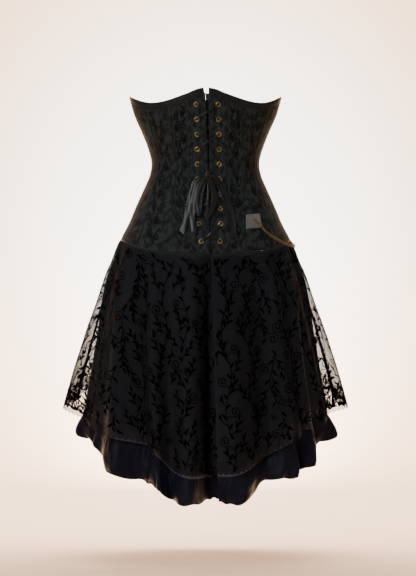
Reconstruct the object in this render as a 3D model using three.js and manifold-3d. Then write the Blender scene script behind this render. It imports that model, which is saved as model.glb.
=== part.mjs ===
// A corset dress, filled out as if worn: a laced corset with a satin skirt, its ruffle and a net overlay.
// Millimetres, +Z up. The origin is the centre of the waist, -Y is the laced back, +X the wearer's right.
import * as THREE from "three";
import { mergeVertices } from "three/addons/utils/BufferGeometryUtils.js";
import Module from "manifold-3d";

const wasm = await Module();
wasm.setup();

const { lerp, smoothstep, degToRad, radToDeg, clamp } = THREE.MathUtils;

// Driving dimensions
const SEAM_GAP = 0.3;
const WALL = { corset: 2, satin: 1.4, net: 1.2, lace: 1.2, ruffle: 1.4, binding: 0.8, strip: 1.2, patch: 2 };
const BONING_HEIGHT = 0.9;
const PIPING_RADIUS = 1.6;
const NET_CLEARANCE = 1.2;
const LACE_HEIGHT = 30;

// The figure inside the cloth: half its width, and how far it reaches behind and before the origin
const FIGURE = [
  { z: -200, half: 193, back: 125, front: 122 },
  { z: -169, half: 186.5, back: 121, front: 119 },
  { z: -130, half: 166.5, back: 113, front: 112 },
  { z: -90, half: 149.5, back: 103, front: 102 },
  { z: -51, half: 132, back: 93, front: 92 },
  { z: -24, half: 120.5, back: 88, front: 87 },
  { z: 2, half: 116, back: 86, front: 86 },
  { z: 29, half: 121.5, back: 88, front: 93 },
  { z: 68, half: 136, back: 91, front: 104 },
  { z: 108, half: 153.5, back: 94, front: 116 },
  { z: 147, half: 164.5, back: 95, front: 124 },
  { z: 172, half: 169, back: 96, front: 128 },
];

// Heights of the corset's two edges round the body, by the angle from the centre back
const CORSET_EDGES = [
  { angle: 0, top: 161, bottom: -196 },
  { angle: 7, top: 157, bottom: -196 },
  { angle: 14, top: 149, bottom: -195 },
  { angle: 25, top: 139, bottom: -193 },
  { angle: 36, top: 132, bottom: -189 },
  { angle: 48, top: 130, bottom: -183 },
  { angle: 60, top: 135, bottom: -175 },
  { angle: 75, top: 144, bottom: -166 },
  { angle: 90, top: 149, bottom: -161 },
  { angle: 110, top: 144, bottom: -167 },
  { angle: 131, top: 138, bottom: -181 },
  { angle: 158, top: 154, bottom: -196 },
  { angle: 180, top: 170, bottom: -200 },
];

// The centre back line wanders to the right on its way down, and its gap closes
const CENTRE_BACK = [
  { z: -200, x: 12, gap: 0.8 },
  { z: -165, x: 11, gap: 0.8 },
  { z: -35, x: 6.5, gap: 1 },
  { z: 30, x: 6, gap: 1.8 },
  { z: 126, x: 4, gap: 2.8 },
  { z: 145, x: 2.5, gap: 4 },
  { z: 172, x: 1, gap: 6.5 },
];

// Angles of the seams between the corset's panels, from the centre back round to the centre front
const SEAMS = [
  { z: -180, first: 21, second: 52, third: 90, fourth: 128, last: 180 },
  { z: 0, first: 34.5, second: 60, third: 90, fourth: 120, last: 180 },
  { z: 150, first: 27, second: 55, third: 90, fourth: 125, last: 180 },
];
const SEAM_NAMES = ["first", "second", "third", "fourth", "last"];
const PANEL_NAMES = ["centre_back", "back_side", "side", "front_side", "centre_front"];

// Columns of a panel, in mm past its first edge or as a share of what is left; up marks the boning
const LACED_COLUMNS = [
  { mm: 0, up: 1 },
  { mm: 10.5, up: 1 },
  { mm: 12, up: 0 },
  { mm: 30.5, up: 0 },
  { mm: 32, up: 1 },
  { mm: 40.5, up: 1 },
  { mm: 42, up: 0 },
  { share: 1, up: 0 },
];
const BONED_COLUMNS = [
  { mm: 0, up: 1 },
  { mm: 5.5, up: 1 },
  { mm: 6.7, up: 0 },
  { share: 0.36, up: 0 },
  { share: 0.7, up: 0 },
  { share: 1, up: 0 },
];
const EYELET_FACET = { column: 2, from: LACED_COLUMNS[2].mm, to: LACED_COLUMNS[3].mm };

const EYELETS = {
  count: 10,
  first: 125.7,
  pitch: 32.3,
  offset: 23.5,
  lastOffset: 20,
  lastDrop: 0.18,
  hole: 3.2,
  sides: 8,
};
// An eyelet's section: its radius, and its height above the cloth
const EYELET_SECTION = [
  { radius: 2.4, up: -2.4 },
  { radius: 2.9, up: -2.4 },
  { radius: 2.9, up: 0.3 },
  { radius: 6, up: 0.3 },
  { radius: 5.2, up: 1.5 },
  { radius: 2.4, up: 1.5 },
];
const GROMMET_SECTION = [
  { radius: 1.6, up: 0.3 },
  { radius: 4.8, up: 0.3 },
  { radius: 4.2, up: 1.4 },
  { radius: 1.6, up: 1.4 },
];

// The satin skirt's ridges and valleys from the centre back round to the front, one row for each.
// Angles where it leaves the corset and at its hem, how far it stands out (1 is a full ridge),
// and the heights of the ruffle's seam, of the ruffle's hem and of the lace's hem there.
const FOLDS_LEFT = [
  { top: 3.05, hem: 9, out: -1.8, seam: -670, ruffle: -716, lace: -714 },
  { top: 0.6, hem: 1.8, out: -2.1, seam: -672, ruffle: -718, lace: -669 },
  { top: -7, hem: -6.6, out: 1, seam: -670, ruffle: -726, lace: -667 },
  { top: -22, hem: -16.5, out: -0.7, seam: -655, ruffle: -716, lace: -652 },
  { top: -33, hem: -22.5, out: 0.7, seam: -622, ruffle: -690, lace: -618 },
  { top: -46, hem: -29.5, out: -1.1, seam: -606, ruffle: -682, lace: -602 },
  { top: -59, hem: -46, out: 1, seam: -590, ruffle: -664, lace: -584 },
  { top: -72, hem: -66, out: -0.8, seam: -568, ruffle: -616, lace: -558 },
  { top: -84, hem: -82, out: 0.8, seam: -546, ruffle: -594, lace: -534 },
  { top: -97, hem: -97, out: -0.8, seam: -533, ruffle: -586, lace: -520 },
  { top: -109, hem: -110, out: 0.9, seam: -522, ruffle: -580, lace: -510 },
  { top: -121, hem: -123, out: -0.9, seam: -510, ruffle: -572, lace: -502 },
  { top: -133, hem: -135, out: 0.8, seam: -498, ruffle: -562, lace: -492 },
  { top: -145, hem: -147, out: -0.9, seam: -488, ruffle: -554, lace: -484 },
  { top: -157, hem: -158, out: 0.9, seam: -480, ruffle: -547, lace: -476 },
  { top: -169, hem: -169, out: -0.8, seam: -475, ruffle: -542, lace: -471 },
  { top: -180, hem: -180, out: 0.6, seam: -472, ruffle: -540, lace: -468 },
];
const FOLDS_RIGHT = [
  { top: 3.7, hem: 5.4, out: 0.55, seam: -666, ruffle: -718, lace: -663 },
  { top: 14.5, hem: 15, out: 1, seam: -662, ruffle: -723, lace: -659 },
  { top: 32, hem: 29.5, out: -1.1, seam: -632, ruffle: -680, lace: -628 },
  { top: 42, hem: 41, out: 0.8, seam: -602, ruffle: -675, lace: -597 },
  { top: 50, hem: 49, out: -0.5, seam: -582, ruffle: -666, lace: -576 },
  { top: 59, hem: 57, out: 0.8, seam: -570, ruffle: -646, lace: -561 },
  { top: 72, hem: 70, out: -0.9, seam: -556, ruffle: -618, lace: -545 },
  { top: 84, hem: 83, out: 0.8, seam: -546, ruffle: -598, lace: -532 },
  { top: 96, hem: 96, out: -0.8, seam: -533, ruffle: -587, lace: -520 },
  { top: 108, hem: 109, out: 0.9, seam: -522, ruffle: -580, lace: -511 },
  { top: 120, hem: 122, out: -0.9, seam: -510, ruffle: -572, lace: -501 },
  { top: 133, hem: 135, out: 0.8, seam: -498, ruffle: -562, lace: -492 },
  { top: 145, hem: 147, out: -0.9, seam: -488, ruffle: -554, lace: -484 },
  { top: 157, hem: 158, out: 0.8, seam: -480, ruffle: -547, lace: -476 },
  { top: 169, hem: 169, out: -0.9, seam: -475, ruffle: -542, lace: -471 },
  { top: 180, hem: 180, out: 0.6, seam: -472, ruffle: -540, lace: -468 },
];
// The left ruffle runs on flat under the right one, inside the lace: tuck holds the folds where it opens out
const SIDES = [
  { name: "left", way: -1, folds: FOLDS_LEFT, sideSeam: 8.5, ruffleFrom: 0.25, tuck: [1, 1.8] },
  { name: "right", way: 1, folds: FOLDS_RIGHT, sideSeam: 7.5, ruffleFrom: 0, tuck: [-1, 0] },
];
const FOLD_DEPTH = 18;
const FOLD_GROWTH = 0.6;
const SKIRT_ROWS = [0, 0.06, 0.16, 0.3, 0.5, 0.75, 1];
const SKIRT_SPREAD = 0.2;
const FOLD_SEAM_GAP = 0.009;

// The skirt without its folds
const SKIRT = [
  { z: -700, half: 268, back: 205, front: 188 },
  { z: -600, half: 260, back: 195, front: 180 },
  { z: -543, half: 253, back: 187, front: 172 },
  { z: -502, half: 247, back: 181, front: 167 },
  { z: -440, half: 237.6, back: 172, front: 161 },
  { z: -409, half: 233.4, back: 167, front: 156 },
  { z: -354, half: 225.6, back: 158, front: 150 },
  { z: -299, half: 220, back: 150, front: 143 },
  { z: -246, half: 210, back: 140, front: 134 },
  { z: -172, half: 190, back: 123, front: 120 },
];
// How much further the net stands out at the sides
const NET_FLARE = [
  { z: -560, out: 49 },
  { z: -502, out: 43.5 },
  { z: -440, out: 36.5 },
  { z: -407, out: 31 },
  { z: -354, out: 22.5 },
  { z: -301, out: 10 },
  { z: -249, out: 4 },
  { z: -200, out: 1.5 },
  { z: -172, out: 0 },
];
const RUFFLE = { gap: 0.45, flare: 12, wave: 8, wavesPerFold: 0.85, unevenness: 0.25, drift: 1.7 };

const STRIP = { top: 133, thickness: 1.2 };
// The modesty strip across the back: how far from the centre line, and how deep behind the corset's inside
const STRIP_COLUMNS = [
  { mm: -44, deep: 1 },
  { mm: -36, deep: 1 },
  { mm: -29, deep: 4.6 },
  { mm: 0, deep: 4.6 },
  { mm: 29, deep: 4.6 },
  { mm: 38, deep: 4.6 },
];

const LACING = { halfWidth: 2.2, halfThick: 0.6, inHole: 1.3, near: 3, over: 5.2, crossing: 4.7, under: -1.4 };
// Where a length of lacing turns above and below its hole, and its places along a crossing
const LACING_TURNS = { above: 2.7, below: -3.5 };
const LACING_STATIONS = [0.27, 0.42, 0.58, 0.73];
const KNOT = { x: 3.3, z: -25, out: 13.5, wide: 8.5, deep: 6, high: 7.5 };

// The bow's ribbons, as hand-set routes: x, height, how far out from the figure, and half the width
const BOW = {
  bow_tail_left_outer: [
    { x: -3.9, z: -28.6, out: 11.9, half: 2.4 },
    { x: -13, z: -34, out: 9.5, half: 3.5 },
    { x: -22.5, z: -43, out: 8.2, half: 4.2 },
    { x: -30, z: -62, out: 7.6, half: 4.6 },
    { x: -34.5, z: -85, out: 7, half: 4.8 },
    { x: -38.5, z: -112, out: 6, half: 5.6 },
    { x: -44, z: -134, out: 5.4, half: 6.3 },
    { x: -50.4, z: -152, out: 5, half: 6.3 },
  ],
  bow_tail_left_inner: [
    { x: -2.2, z: -31.1, out: 13, half: 2.4 },
    { x: -10, z: -39, out: 11.8, half: 3.6 },
    { x: -19, z: -52, out: 10.6, half: 4.6 },
    { x: -24.5, z: -72, out: 10.2, half: 5.2 },
    { x: -26, z: -95, out: 9.8, half: 5.6 },
    { x: -26.5, z: -118, out: 9.2, half: 6 },
    { x: -25, z: -136, out: 8.6, half: 6.2 },
    { x: -23, z: -152, out: 8, half: 6.2 },
  ],
  bow_tail_right_outer: [
    { x: 10.5, z: -28.4, out: 12.3, half: 2.4 },
    { x: 20, z: -33, out: 10.5, half: 3.6 },
    { x: 30, z: -43, out: 9.8, half: 4.4 },
    { x: 38, z: -60, out: 9.2, half: 5 },
    { x: 46, z: -82, out: 8.6, half: 5.4 },
    { x: 53.5, z: -106, out: 7.8, half: 5.8 },
    { x: 58, z: -130, out: 6.8, half: 6.3 },
    { x: 58.5, z: -152, out: 6, half: 6.3 },
  ],
  bow_tail_right_inner: [
    { x: 8, z: -31.6, out: 11, half: 1.8 },
    { x: 16, z: -41.5, out: 7.8, half: 2.6 },
    { x: 27, z: -54, out: 7, half: 2.8 },
    { x: 35, z: -72, out: 6.6, half: 3 },
    { x: 42, z: -92, out: 6.2, half: 3.2 },
    { x: 46, z: -110, out: 5.6, half: 3.4 },
    { x: 44.5, z: -126, out: 5.2, half: 3.4 },
  ],
  bow_loop_left: [
    { x: -0.6, z: -32.8, out: 15.2, half: 2.4 },
    { x: -8, z: -44, out: 15.6, half: 4.6 },
    { x: -14.5, z: -60, out: 15, half: 6 },
    { x: -18, z: -80, out: 14.6, half: 6.2 },
    { x: -18.5, z: -98, out: 14.4, half: 5.6 },
    { x: -16, z: -110, out: 14.2, half: 4.6 },
    { x: -13.2, z: -114.5, out: 12.8, half: 3.6 },
    { x: -11, z: -108, out: 11.7, half: 3 },
    { x: -9, z: -90, out: 11.8, half: 2.6 },
    { x: -5.4, z: -64, out: 12, half: 2.4 },
    { x: -1.2, z: -46, out: 12, half: 2.2 },
    { x: 1.4, z: -33, out: 12.2, half: 1.4 },
  ],
  bow_loop_right: [
    { x: 6.4, z: -32.6, out: 15.2, half: 2.4 },
    { x: 11.5, z: -46, out: 15.6, half: 4.6 },
    { x: 16.5, z: -62, out: 15, half: 6 },
    { x: 17.6, z: -80, out: 14.6, half: 6.2 },
    { x: 14, z: -98, out: 14.2, half: 5.6 },
    { x: 8, z: -112, out: 13.4, half: 4.4 },
    { x: 4.5, z: -119.5, out: 12, half: 3.4 },
    { x: 3.4, z: -113, out: 10.6, half: 2.8 },
    { x: 4.6, z: -92, out: 10.8, half: 2.6 },
    { x: 6, z: -64, out: 11.4, half: 2.4 },
    { x: 5.6, z: -46, out: 11.6, half: 2.2 },
    { x: 4.9, z: -33, out: 12, half: 1.4 },
  ],
};
const RIBBON_HALF_THICK = 0.6;
const RIBBON_STEPS_PER_POINT = 2;

// The leather patch on the right back side panel, in the panel's own columns and rows
const PATCH = { columns: [2.03, 3, 3.56], low: 2.18, line: 3, high: 3.12, tilt: 0.1 };
const PATCH_GROMMET = { column: 0.92, row: 0.66 };
const FRONT_GROMMET = { panel: 3, column: 2.5, row: 2.5 };

// The double chain from the patch round the right hip to the front: angle, height, distance from the figure
const CHAIN = { radius: 1.2, apart: 1.7, sides: 6, steps: 20 };
const CHAIN_ROUTE = [
  { angle: 42.4, z: -134, out: 7.5 },
  { angle: 46.4, z: -150, out: 6.4 },
  { angle: 51.9, z: -161.5, out: 6.2 },
  { angle: 58.9, z: -169.5, out: 6.4 },
  { angle: 67, z: -176, out: 7 },
  { angle: 78, z: -178.5, out: 8 },
  { angle: 90, z: -178, out: 8.2 },
  { angle: 101, z: -172, out: 7.6 },
  { angle: 110, z: -160, out: 6.6 },
];

// Finishes
const finish = (color, roughness, metalness) => new THREE.MeshStandardMaterial({ color, roughness, metalness });
const BROCADE = finish(0x232423, 0.6, 0);
const SATIN = finish(0x1c1b20, 0.4, 0);
const NET = finish(0x101013, 0.9, 0);
const LEATHER = finish(0x6f7073, 0.5, 0);
const BRONZE = finish(0x8a6a38, 0.4, 1);

// A column of a table, read on a smooth curve through its rows
function read(rows, key, column, at) {
  const last = rows.length - 1;
  const place = clamp(at, rows[0][key], rows[last][key]);
  let i = 0;
  while (i < last - 1 && rows[i + 1][key] < place) i++;
  const span = rows[i + 1][key] - rows[i][key];
  const slope = (k) => {
    const low = rows[Math.max(k - 1, 0)];
    const high = rows[Math.min(k + 1, last)];
    return (high[column] - low[column]) / (high[key] - low[key]);
  };
  const t = (place - rows[i][key]) / span;
  const bend = t * t * (3 - 2 * t);
  const start = t * (1 - t) * (1 - t) * span * slope(i);
  const end = t * t * (1 - t) * span * slope(i + 1);
  return lerp(rows[i][column], rows[i + 1][column], bend) + start - end;
}

// The same for a table whose rows are one apart
function readFold(rows, column, s) {
  const i = clamp(Math.floor(s), 0, rows.length - 2);
  const near = rows.slice(Math.max(i - 1, 0), i + 3).map((row, k) => ({ ...row, at: Math.max(i - 1, 0) + k }));
  return read(near, "at", column, s);
}

const sizesAt = (rows, z) => ({
  half: read(rows, "z", "half", z),
  back: read(rows, "z", "back", z),
  front: read(rows, "z", "front", z),
});

// A point of a rounded outline at an angle from the centre back, moved out along its level normal
function outlinePoint(size, angle, z, out) {
  const sin = Math.sin(degToRad(angle));
  const cos = Math.cos(degToRad(angle));
  const depth = cos > 0 ? size.back : size.front;
  const normal = new THREE.Vector3(sin / size.half, -cos / depth, 0).normalize();
  return new THREE.Vector3(size.half * sin, -depth * cos, z).addScaledVector(normal, out);
}

const figurePoint = (angle, z, out) => outlinePoint(sizesAt(FIGURE, z), angle, z, out);

// The angle at which a distance to the right of the origin lies on the back
const backAngle = (x, z) => radToDeg(Math.asin(x / read(FIGURE, "z", "half", z)));

// The directions up and across the figure's back at a place
function upTheBack(x, z) {
  const angle = backAngle(x, z);
  return figurePoint(angle, z + 1, 0).sub(figurePoint(angle, z - 1, 0)).normalize();
}
function acrossTheBack(x, z) {
  const { half, back } = sizesAt(FIGURE, z);
  const turn = degToRad(backAngle(x, z));
  return new THREE.Vector3(half * Math.cos(turn), back * Math.sin(turn), 0).normalize();
}

// How far the centre back line turns the whole back at this height, fading to nothing at the front
function leanAt(angle, z) {
  const whole = backAngle(read(CENTRE_BACK, "z", "x", z), z);
  return (whole * (1 + Math.cos(degToRad(angle)))) / 2;
}

// A closed mesh from points and faces, turned to face out
function closedGeometry(points, faces) {
  const volume = faces.reduce((sum, [a, b, c]) => {
    return sum + points[a].dot(new THREE.Vector3().crossVectors(points[b], points[c]));
  }, 0);
  const outward = volume < 0 ? faces.map(([a, b, c]) => [a, c, b]) : faces;
  const geometry = new THREE.BufferGeometry().setFromPoints(points);
  geometry.setIndex(outward.flat());
  geometry.computeVertexNormals();
  return geometry;
}

// A wall between two grids of points with the same rows and columns
function wallGeometry(outer, inner) {
  const rows = outer.length;
  const columns = outer[0].length;
  const end = columns - 1;
  const points = [...outer.flat(), ...inner.flat()];
  const outerAt = (r, c) => r * columns + c;
  const innerAt = (r, c) => (rows + r) * columns + c;
  const faces = [];
  const quad = (a, b, c, d) => faces.push([a, b, c], [a, c, d]);
  for (let r = 0; r < rows - 1; r++) {
    for (let c = 0; c < columns - 1; c++) {
      quad(outerAt(r, c), outerAt(r, c + 1), outerAt(r + 1, c + 1), outerAt(r + 1, c));
      quad(innerAt(r, c), innerAt(r + 1, c), innerAt(r + 1, c + 1), innerAt(r, c + 1));
    }
    quad(outerAt(r, 0), outerAt(r + 1, 0), innerAt(r + 1, 0), innerAt(r, 0));
    quad(outerAt(r + 1, end), outerAt(r, end), innerAt(r, end), innerAt(r + 1, end));
  }
  for (let c = 0; c < columns - 1; c++) {
    quad(outerAt(0, c), innerAt(0, c), innerAt(0, c + 1), outerAt(0, c + 1));
    quad(outerAt(rows - 1, c), outerAt(rows - 1, c + 1), innerAt(rows - 1, c + 1), innerAt(rows - 1, c));
  }
  return closedGeometry(points, faces);
}

// A solid through rings of points; cap lists the triangles that close a ring, and the faces
// after the points in flipped are split the other way
function loftGeometry(rings, cap, flipped = []) {
  const sides = rings[0].length;
  const faces = [];
  for (let k = 0; k < rings.length - 1; k++) {
    for (let i = 0; i < sides; i++) {
      const j = (i + 1) % sides;
      const low = k * sides;
      const high = low + sides;
      if (flipped.includes(i)) faces.push([low + i, low + j, high + i], [low + j, high + j, high + i]);
      else faces.push([low + i, low + j, high + j], [low + i, high + j, high + i]);
    }
  }
  const end = (rings.length - 1) * sides;
  for (const [a, b, c] of cap) faces.push([a, c, b], [end + a, end + b, end + c]);
  return closedGeometry(rings.flat(), faces);
}

const fanCap = (sides) => Array.from({ length: sides - 2 }, (_, i) => [0, i + 1, i + 2]);

const part = new THREE.Group();
function add(name, geometry, material) {
  const mesh = new THREE.Mesh(geometry, material);
  mesh.name = name;
  part.add(mesh);
  return mesh;
}

const edgesAt = (angle) => ({
  bottom: read(CORSET_EDGES, "angle", "bottom", angle),
  top: read(CORSET_EDGES, "angle", "top", angle),
});

// Heights of the rows of a panel, as shares of its height: its edges, and lines half way between the eyelets
function panelRows() {
  const lines = Array.from({ length: EYELETS.count + 1 }, (_, i) => {
    const z = EYELETS.first + EYELETS.pitch / 2 - EYELETS.pitch * (EYELETS.count - i);
    const { bottom, top } = edgesAt(backAngle(EYELETS.offset, z));
    return (z - bottom) / (top - bottom);
  });
  return [0, ...lines, 1];
}
const PANEL_ROWS = panelRows();

// The angle of a panel's column at a height
function columnAngle(panel, column, z) {
  const half = read(FIGURE, "z", "half", z);
  const depth = read(FIGURE, "z", "back", z);
  const seamAngle = (number) => read(SEAMS, "z", SEAM_NAMES[number], z);
  const start = panel === 0 ? backAngle(read(CENTRE_BACK, "z", "gap", z), z) : seamAngle(panel - 1);
  const end = seamAngle(panel);
  const mmPerDegree = degToRad(Math.hypot(half * Math.cos(degToRad(start)), depth * Math.sin(degToRad(start))));
  const gap = SEAM_GAP / 2 / mmPerDegree;
  if (column.share === undefined) return start + (panel === 0 ? 0 : gap) + column.mm / mmPerDegree;
  return lerp(start, end, column.share) - (column.share === 1 ? gap : 0);
}

// A panel's outer and inner points. A column's angle and height depend on each other, so they are
// settled in turns.
function panelGrids(way, panel) {
  const columns = panel === 0 ? LACED_COLUMNS : BONED_COLUMNS;
  const settle = 4;
  const places = PANEL_ROWS.map((share) =>
    columns.map((column) => {
      let angle = columnAngle(panel, column, 0);
      let z = 0;
      for (let turn = 0; turn < settle; turn++) {
        const { bottom, top } = edgesAt(angle);
        z = lerp(bottom, top, share);
        angle = columnAngle(panel, column, z);
      }
      return { angle: way * angle + leanAt(angle, z), z };
    }),
  );
  const last = PANEL_ROWS.length - 1;
  const outer = places.map((row, r) =>
    row.map(({ angle, z }, c) => {
      const raised = r > 0 && r < last ? columns[c].up * BONING_HEIGHT : 0;
      return figurePoint(angle, z, WALL.corset + raised);
    }),
  );
  const inner = places.map((row) => row.map(({ angle, z }) => figurePoint(angle, z, 0)));
  return { outer, inner };
}

// A place on a grid's flat faces, in columns and rows, with the face's outward normal
function onGrid(grid, column, row) {
  const c = clamp(Math.floor(column), 0, grid[0].length - 2);
  const r = clamp(Math.floor(row), 0, grid.length - 2);
  const low = grid[r][c].clone().lerp(grid[r][c + 1], column - c);
  const high = grid[r + 1][c].clone().lerp(grid[r + 1][c + 1], column - c);
  const across = grid[r][c + 1].clone().sub(grid[r][c]);
  const up = grid[r + 1][c].clone().sub(grid[r][c]);
  const normal = across.cross(up).normalize();
  const point = low.lerp(high, row - r);
  if (normal.x * point.x + normal.y * point.y < 0) normal.negate();
  return { point, normal };
}

const AXIS = new THREE.Vector3(0, 1, 0);
const turnTo = (normal) => new THREE.Quaternion().setFromUnitVectors(AXIS, normal);

// A ring turned from a section, standing on a place of a panel
function addRing(name, section, place) {
  const profile = section.map(({ radius, up }) => new THREE.Vector2(radius, up));
  const mesh = add(name, new THREE.LatheGeometry([...profile, profile[0]], EYELETS.sides), BRONZE);
  mesh.position.copy(place.point);
  mesh.quaternion.copy(turnTo(place.normal));
}

function toSolid(geometry) {
  const bare = geometry.clone();
  bare.deleteAttribute("normal");
  bare.deleteAttribute("uv");
  const merged = mergeVertices(bare, 1e-4);
  const vertProperties = merged.attributes.position.array;
  const triVerts = new Uint32Array(merged.index.array);
  return new wasm.Manifold(new wasm.Mesh({ numProp: 3, vertProperties, triVerts }));
}

function fromSolid(solid) {
  const mesh = solid.getMesh();
  const geometry = new THREE.BufferGeometry();
  geometry.setAttribute("position", new THREE.BufferAttribute(new Float32Array(mesh.vertProperties), 3));
  geometry.setIndex([...mesh.triVerts]);
  geometry.computeVertexNormals();
  return geometry;
}

// Where an eyelet sits on its laced panel: number 0 is at the top
function eyeletPlace(grids, number) {
  const z = EYELETS.first - EYELETS.pitch * number;
  const isLast = number === EYELETS.count - 1;
  const fromEdge = (isLast ? EYELETS.lastOffset : EYELETS.offset) - read(CENTRE_BACK, "z", "gap", z);
  const share = (fromEdge - EYELET_FACET.from) / (EYELET_FACET.to - EYELET_FACET.from);
  const row = EYELETS.count - number + 0.5 - (isLast ? EYELETS.lastDrop : 0);
  return onGrid(grids.outer, EYELET_FACET.column + share, row);
}

function punched(grids, places) {
  const drill = new THREE.CylinderGeometry(EYELETS.hole, EYELETS.hole, 4 * WALL.corset, EYELETS.sides);
  let solid = toSolid(wallGeometry(grids.outer, grids.inner));
  for (const { point, normal } of places) {
    const placed = drill.clone().applyQuaternion(turnTo(normal));
    placed.translate(point.x, point.y, point.z);
    solid = solid.subtract(toSolid(placed));
  }
  return fromSolid(solid);
}

// The corset's columns in one line round a half, without the first of two that meet at a seam
function halfColumns(panels) {
  const last = panels.length - 1;
  return panels.flatMap((grids, panel) =>
    grids.outer[0].map((_, c) => ({ grids, c })).slice(0, panel === last ? undefined : -1),
  );
}

// The satin binding folded over the top edge
function addBinding(name, panels) {
  const top = PANEL_ROWS.length - 1;
  const near = SEAM_GAP;
  const far = SEAM_GAP + WALL.binding;
  const rings = halfColumns(panels).map(({ grids, c }) => {
    const [outTop, outLow] = [grids.outer[top][c], grids.outer[top - 1][c]];
    const [inTop, inLow] = [grids.inner[top][c], grids.inner[top - 1][c]];
    const out = outTop.clone().sub(inTop).setZ(0).normalize();
    const moved = (point, side, up) => point.clone().addScaledVector(out, side).setZ(point.z + up);
    return [
      moved(inLow, -far, 0),
      moved(inLow, -near, 0),
      moved(inTop, -near, near),
      moved(outTop, near, near),
      moved(outLow, near, 0),
      moved(outLow, far, 0),
      moved(outTop, far, far),
      moved(inTop, -far, far),
    ];
  });
  const cap = [[0, 1, 2], [0, 2, 7], [2, 3, 6], [2, 6, 7], [3, 4, 5], [3, 5, 6]];
  add(name, loftGeometry(rings, cap, [2, 3, 7]), SATIN);
}

// The piping below the bottom edge
function addPiping(name, panels) {
  const sides = 6;
  const rings = halfColumns(panels).map(({ grids, c }) => {
    const [outer, inner] = [grids.outer[0][c], grids.inner[0][c]];
    const out = outer.clone().sub(inner).setZ(0).normalize();
    const centre = outer.clone().lerp(inner, 0.5);
    centre.z -= SEAM_GAP + PIPING_RADIUS;
    return Array.from({ length: sides }, (_, i) => {
      const turn = (2 * Math.PI * (i + 0.5)) / sides;
      const ring = centre.clone().addScaledVector(out, PIPING_RADIUS * Math.cos(turn));
      return ring.setZ(centre.z + PIPING_RADIUS * Math.sin(turn));
    });
  });
  add(name, loftGeometry(rings, fanCap(sides)), SATIN);
}

function addModestyStrip() {
  const { bottom, top } = edgesAt(0);
  const heights = PANEL_ROWS.slice(1, -2).map((share) => lerp(bottom, top, share));
  const grid = (more) =>
    [...heights, STRIP.top].map((z) =>
      STRIP_COLUMNS.map(({ mm, deep }) => {
        const x = mm + read(CENTRE_BACK, "z", "x", z);
        return figurePoint(backAngle(x, z), z, -deep - more);
      }),
    );
  add("modesty_strip", wallGeometry(grid(0), grid(STRIP.thickness)), SATIN);
}

// A flat ribbon along points; each point has half its width, and its hint tells which way the width lies
function ribbonGeometry(points, halves, hints, halfThick, corners) {
  const rings = points.map((point, i) => {
    const before = points[Math.max(i - 1, 0)];
    const after = points[Math.min(i + 1, points.length - 1)];
    const along = after.clone().sub(before).normalize();
    const side = hints[i].clone().addScaledVector(along, -hints[i].dot(along)).normalize();
    const face = along.clone().cross(side);
    return corners.map(([wide, thick]) =>
      point.clone().addScaledVector(side, wide * halves[i]).addScaledVector(face, thick * halfThick),
    );
  });
  return loftGeometry(rings, fanCap(corners.length));
}
const FLAT_CORNERS = [[1, -1], [1, 1], [-1, 1], [-1, -1]];
const SOFT_CORNERS = [[1, 0], [0.75, 1], [-0.75, 1], [-1, 0], [-0.75, -1], [0.75, -1]];

// One of the two lengths of lacing: it crosses over from each odd row to the next, and back behind
function addLacing(name, places, start) {
  const points = [];
  const halves = [];
  const put = (point, half) => {
    points.push(point);
    halves.push(half);
  };
  const angleOf = (side, number) => {
    const { x, z } = places[side][number].point;
    return { angle: backAngle(x, z), z };
  };
  const higher = start > 0 ? 2 * (LACING.halfThick + SEAM_GAP) : 0;
  for (let number = 0; number < EYELETS.count; number++) {
    const side = number % 2 ? -start : start;
    const place = places[side][number];
    const over = number % 2 === 0;
    const turns = over ? [LACING_TURNS.below, LACING_TURNS.above] : [LACING_TURNS.above, LACING_TURNS.below];
    for (const turn of turns) put(place.point.clone().addScaledVector(place.normal, turn), LACING.inHole);
    if (number === EYELETS.count - 1) break;
    const [from, to] = [angleOf(side, number), angleOf(-side, number + 1)];
    const span = Math.hypot(2 * EYELETS.offset, EYELETS.pitch);
    const near = LACING.near / span;
    const base = over ? LACING.crossing : LACING.under;
    const level = over ? base + higher : base - higher;
    const ends = over ? LACING.over : LACING.under;
    const putOn = (share, out, half) => {
      put(figurePoint(lerp(from.angle, to.angle, share), lerp(from.z, to.z, share), out), half);
    };
    putOn(near, ends, LACING.inHole);
    LACING_STATIONS.forEach((share, i) => putOn(share, i % 3 ? level : base, LACING.halfWidth));
    putOn(1 - near, ends, LACING.inHole);
  }
  const hints = points.map(({ x, z }) => upTheBack(x, z));
  add(name, ribbonGeometry(points, halves, hints, LACING.halfThick, FLAT_CORNERS), SATIN);
}

function addBow() {
  const knot = add("bow_knot", new THREE.SphereGeometry(1, 10, 6), SATIN);
  knot.scale.set(KNOT.wide, KNOT.deep, KNOT.high);
  knot.position.copy(figurePoint(backAngle(KNOT.x, KNOT.z), KNOT.z, KNOT.out));
  for (const [name, route] of Object.entries(BOW)) {
    const place = ({ x, z, out }) => figurePoint(backAngle(x, z), z, out);
    const line = new THREE.CatmullRomCurve3(route.map(place), false, "centripetal");
    const steps = RIBBON_STEPS_PER_POINT * (route.length - 1);
    const points = Array.from({ length: steps + 1 }, (_, i) => line.getPoint(i / steps));
    const hints = points.map(({ x, z }) => acrossTheBack(x, z));
    const halves = points.map((_, i) => {
      const at = i / RIBBON_STEPS_PER_POINT;
      const low = Math.min(Math.floor(at), route.length - 2);
      return lerp(route[low].half, route[low + 1].half, at - low);
    });
    add(name, ribbonGeometry(points, halves, hints, RIBBON_HALF_THICK, SOFT_CORNERS), SATIN);
  }
}

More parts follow.
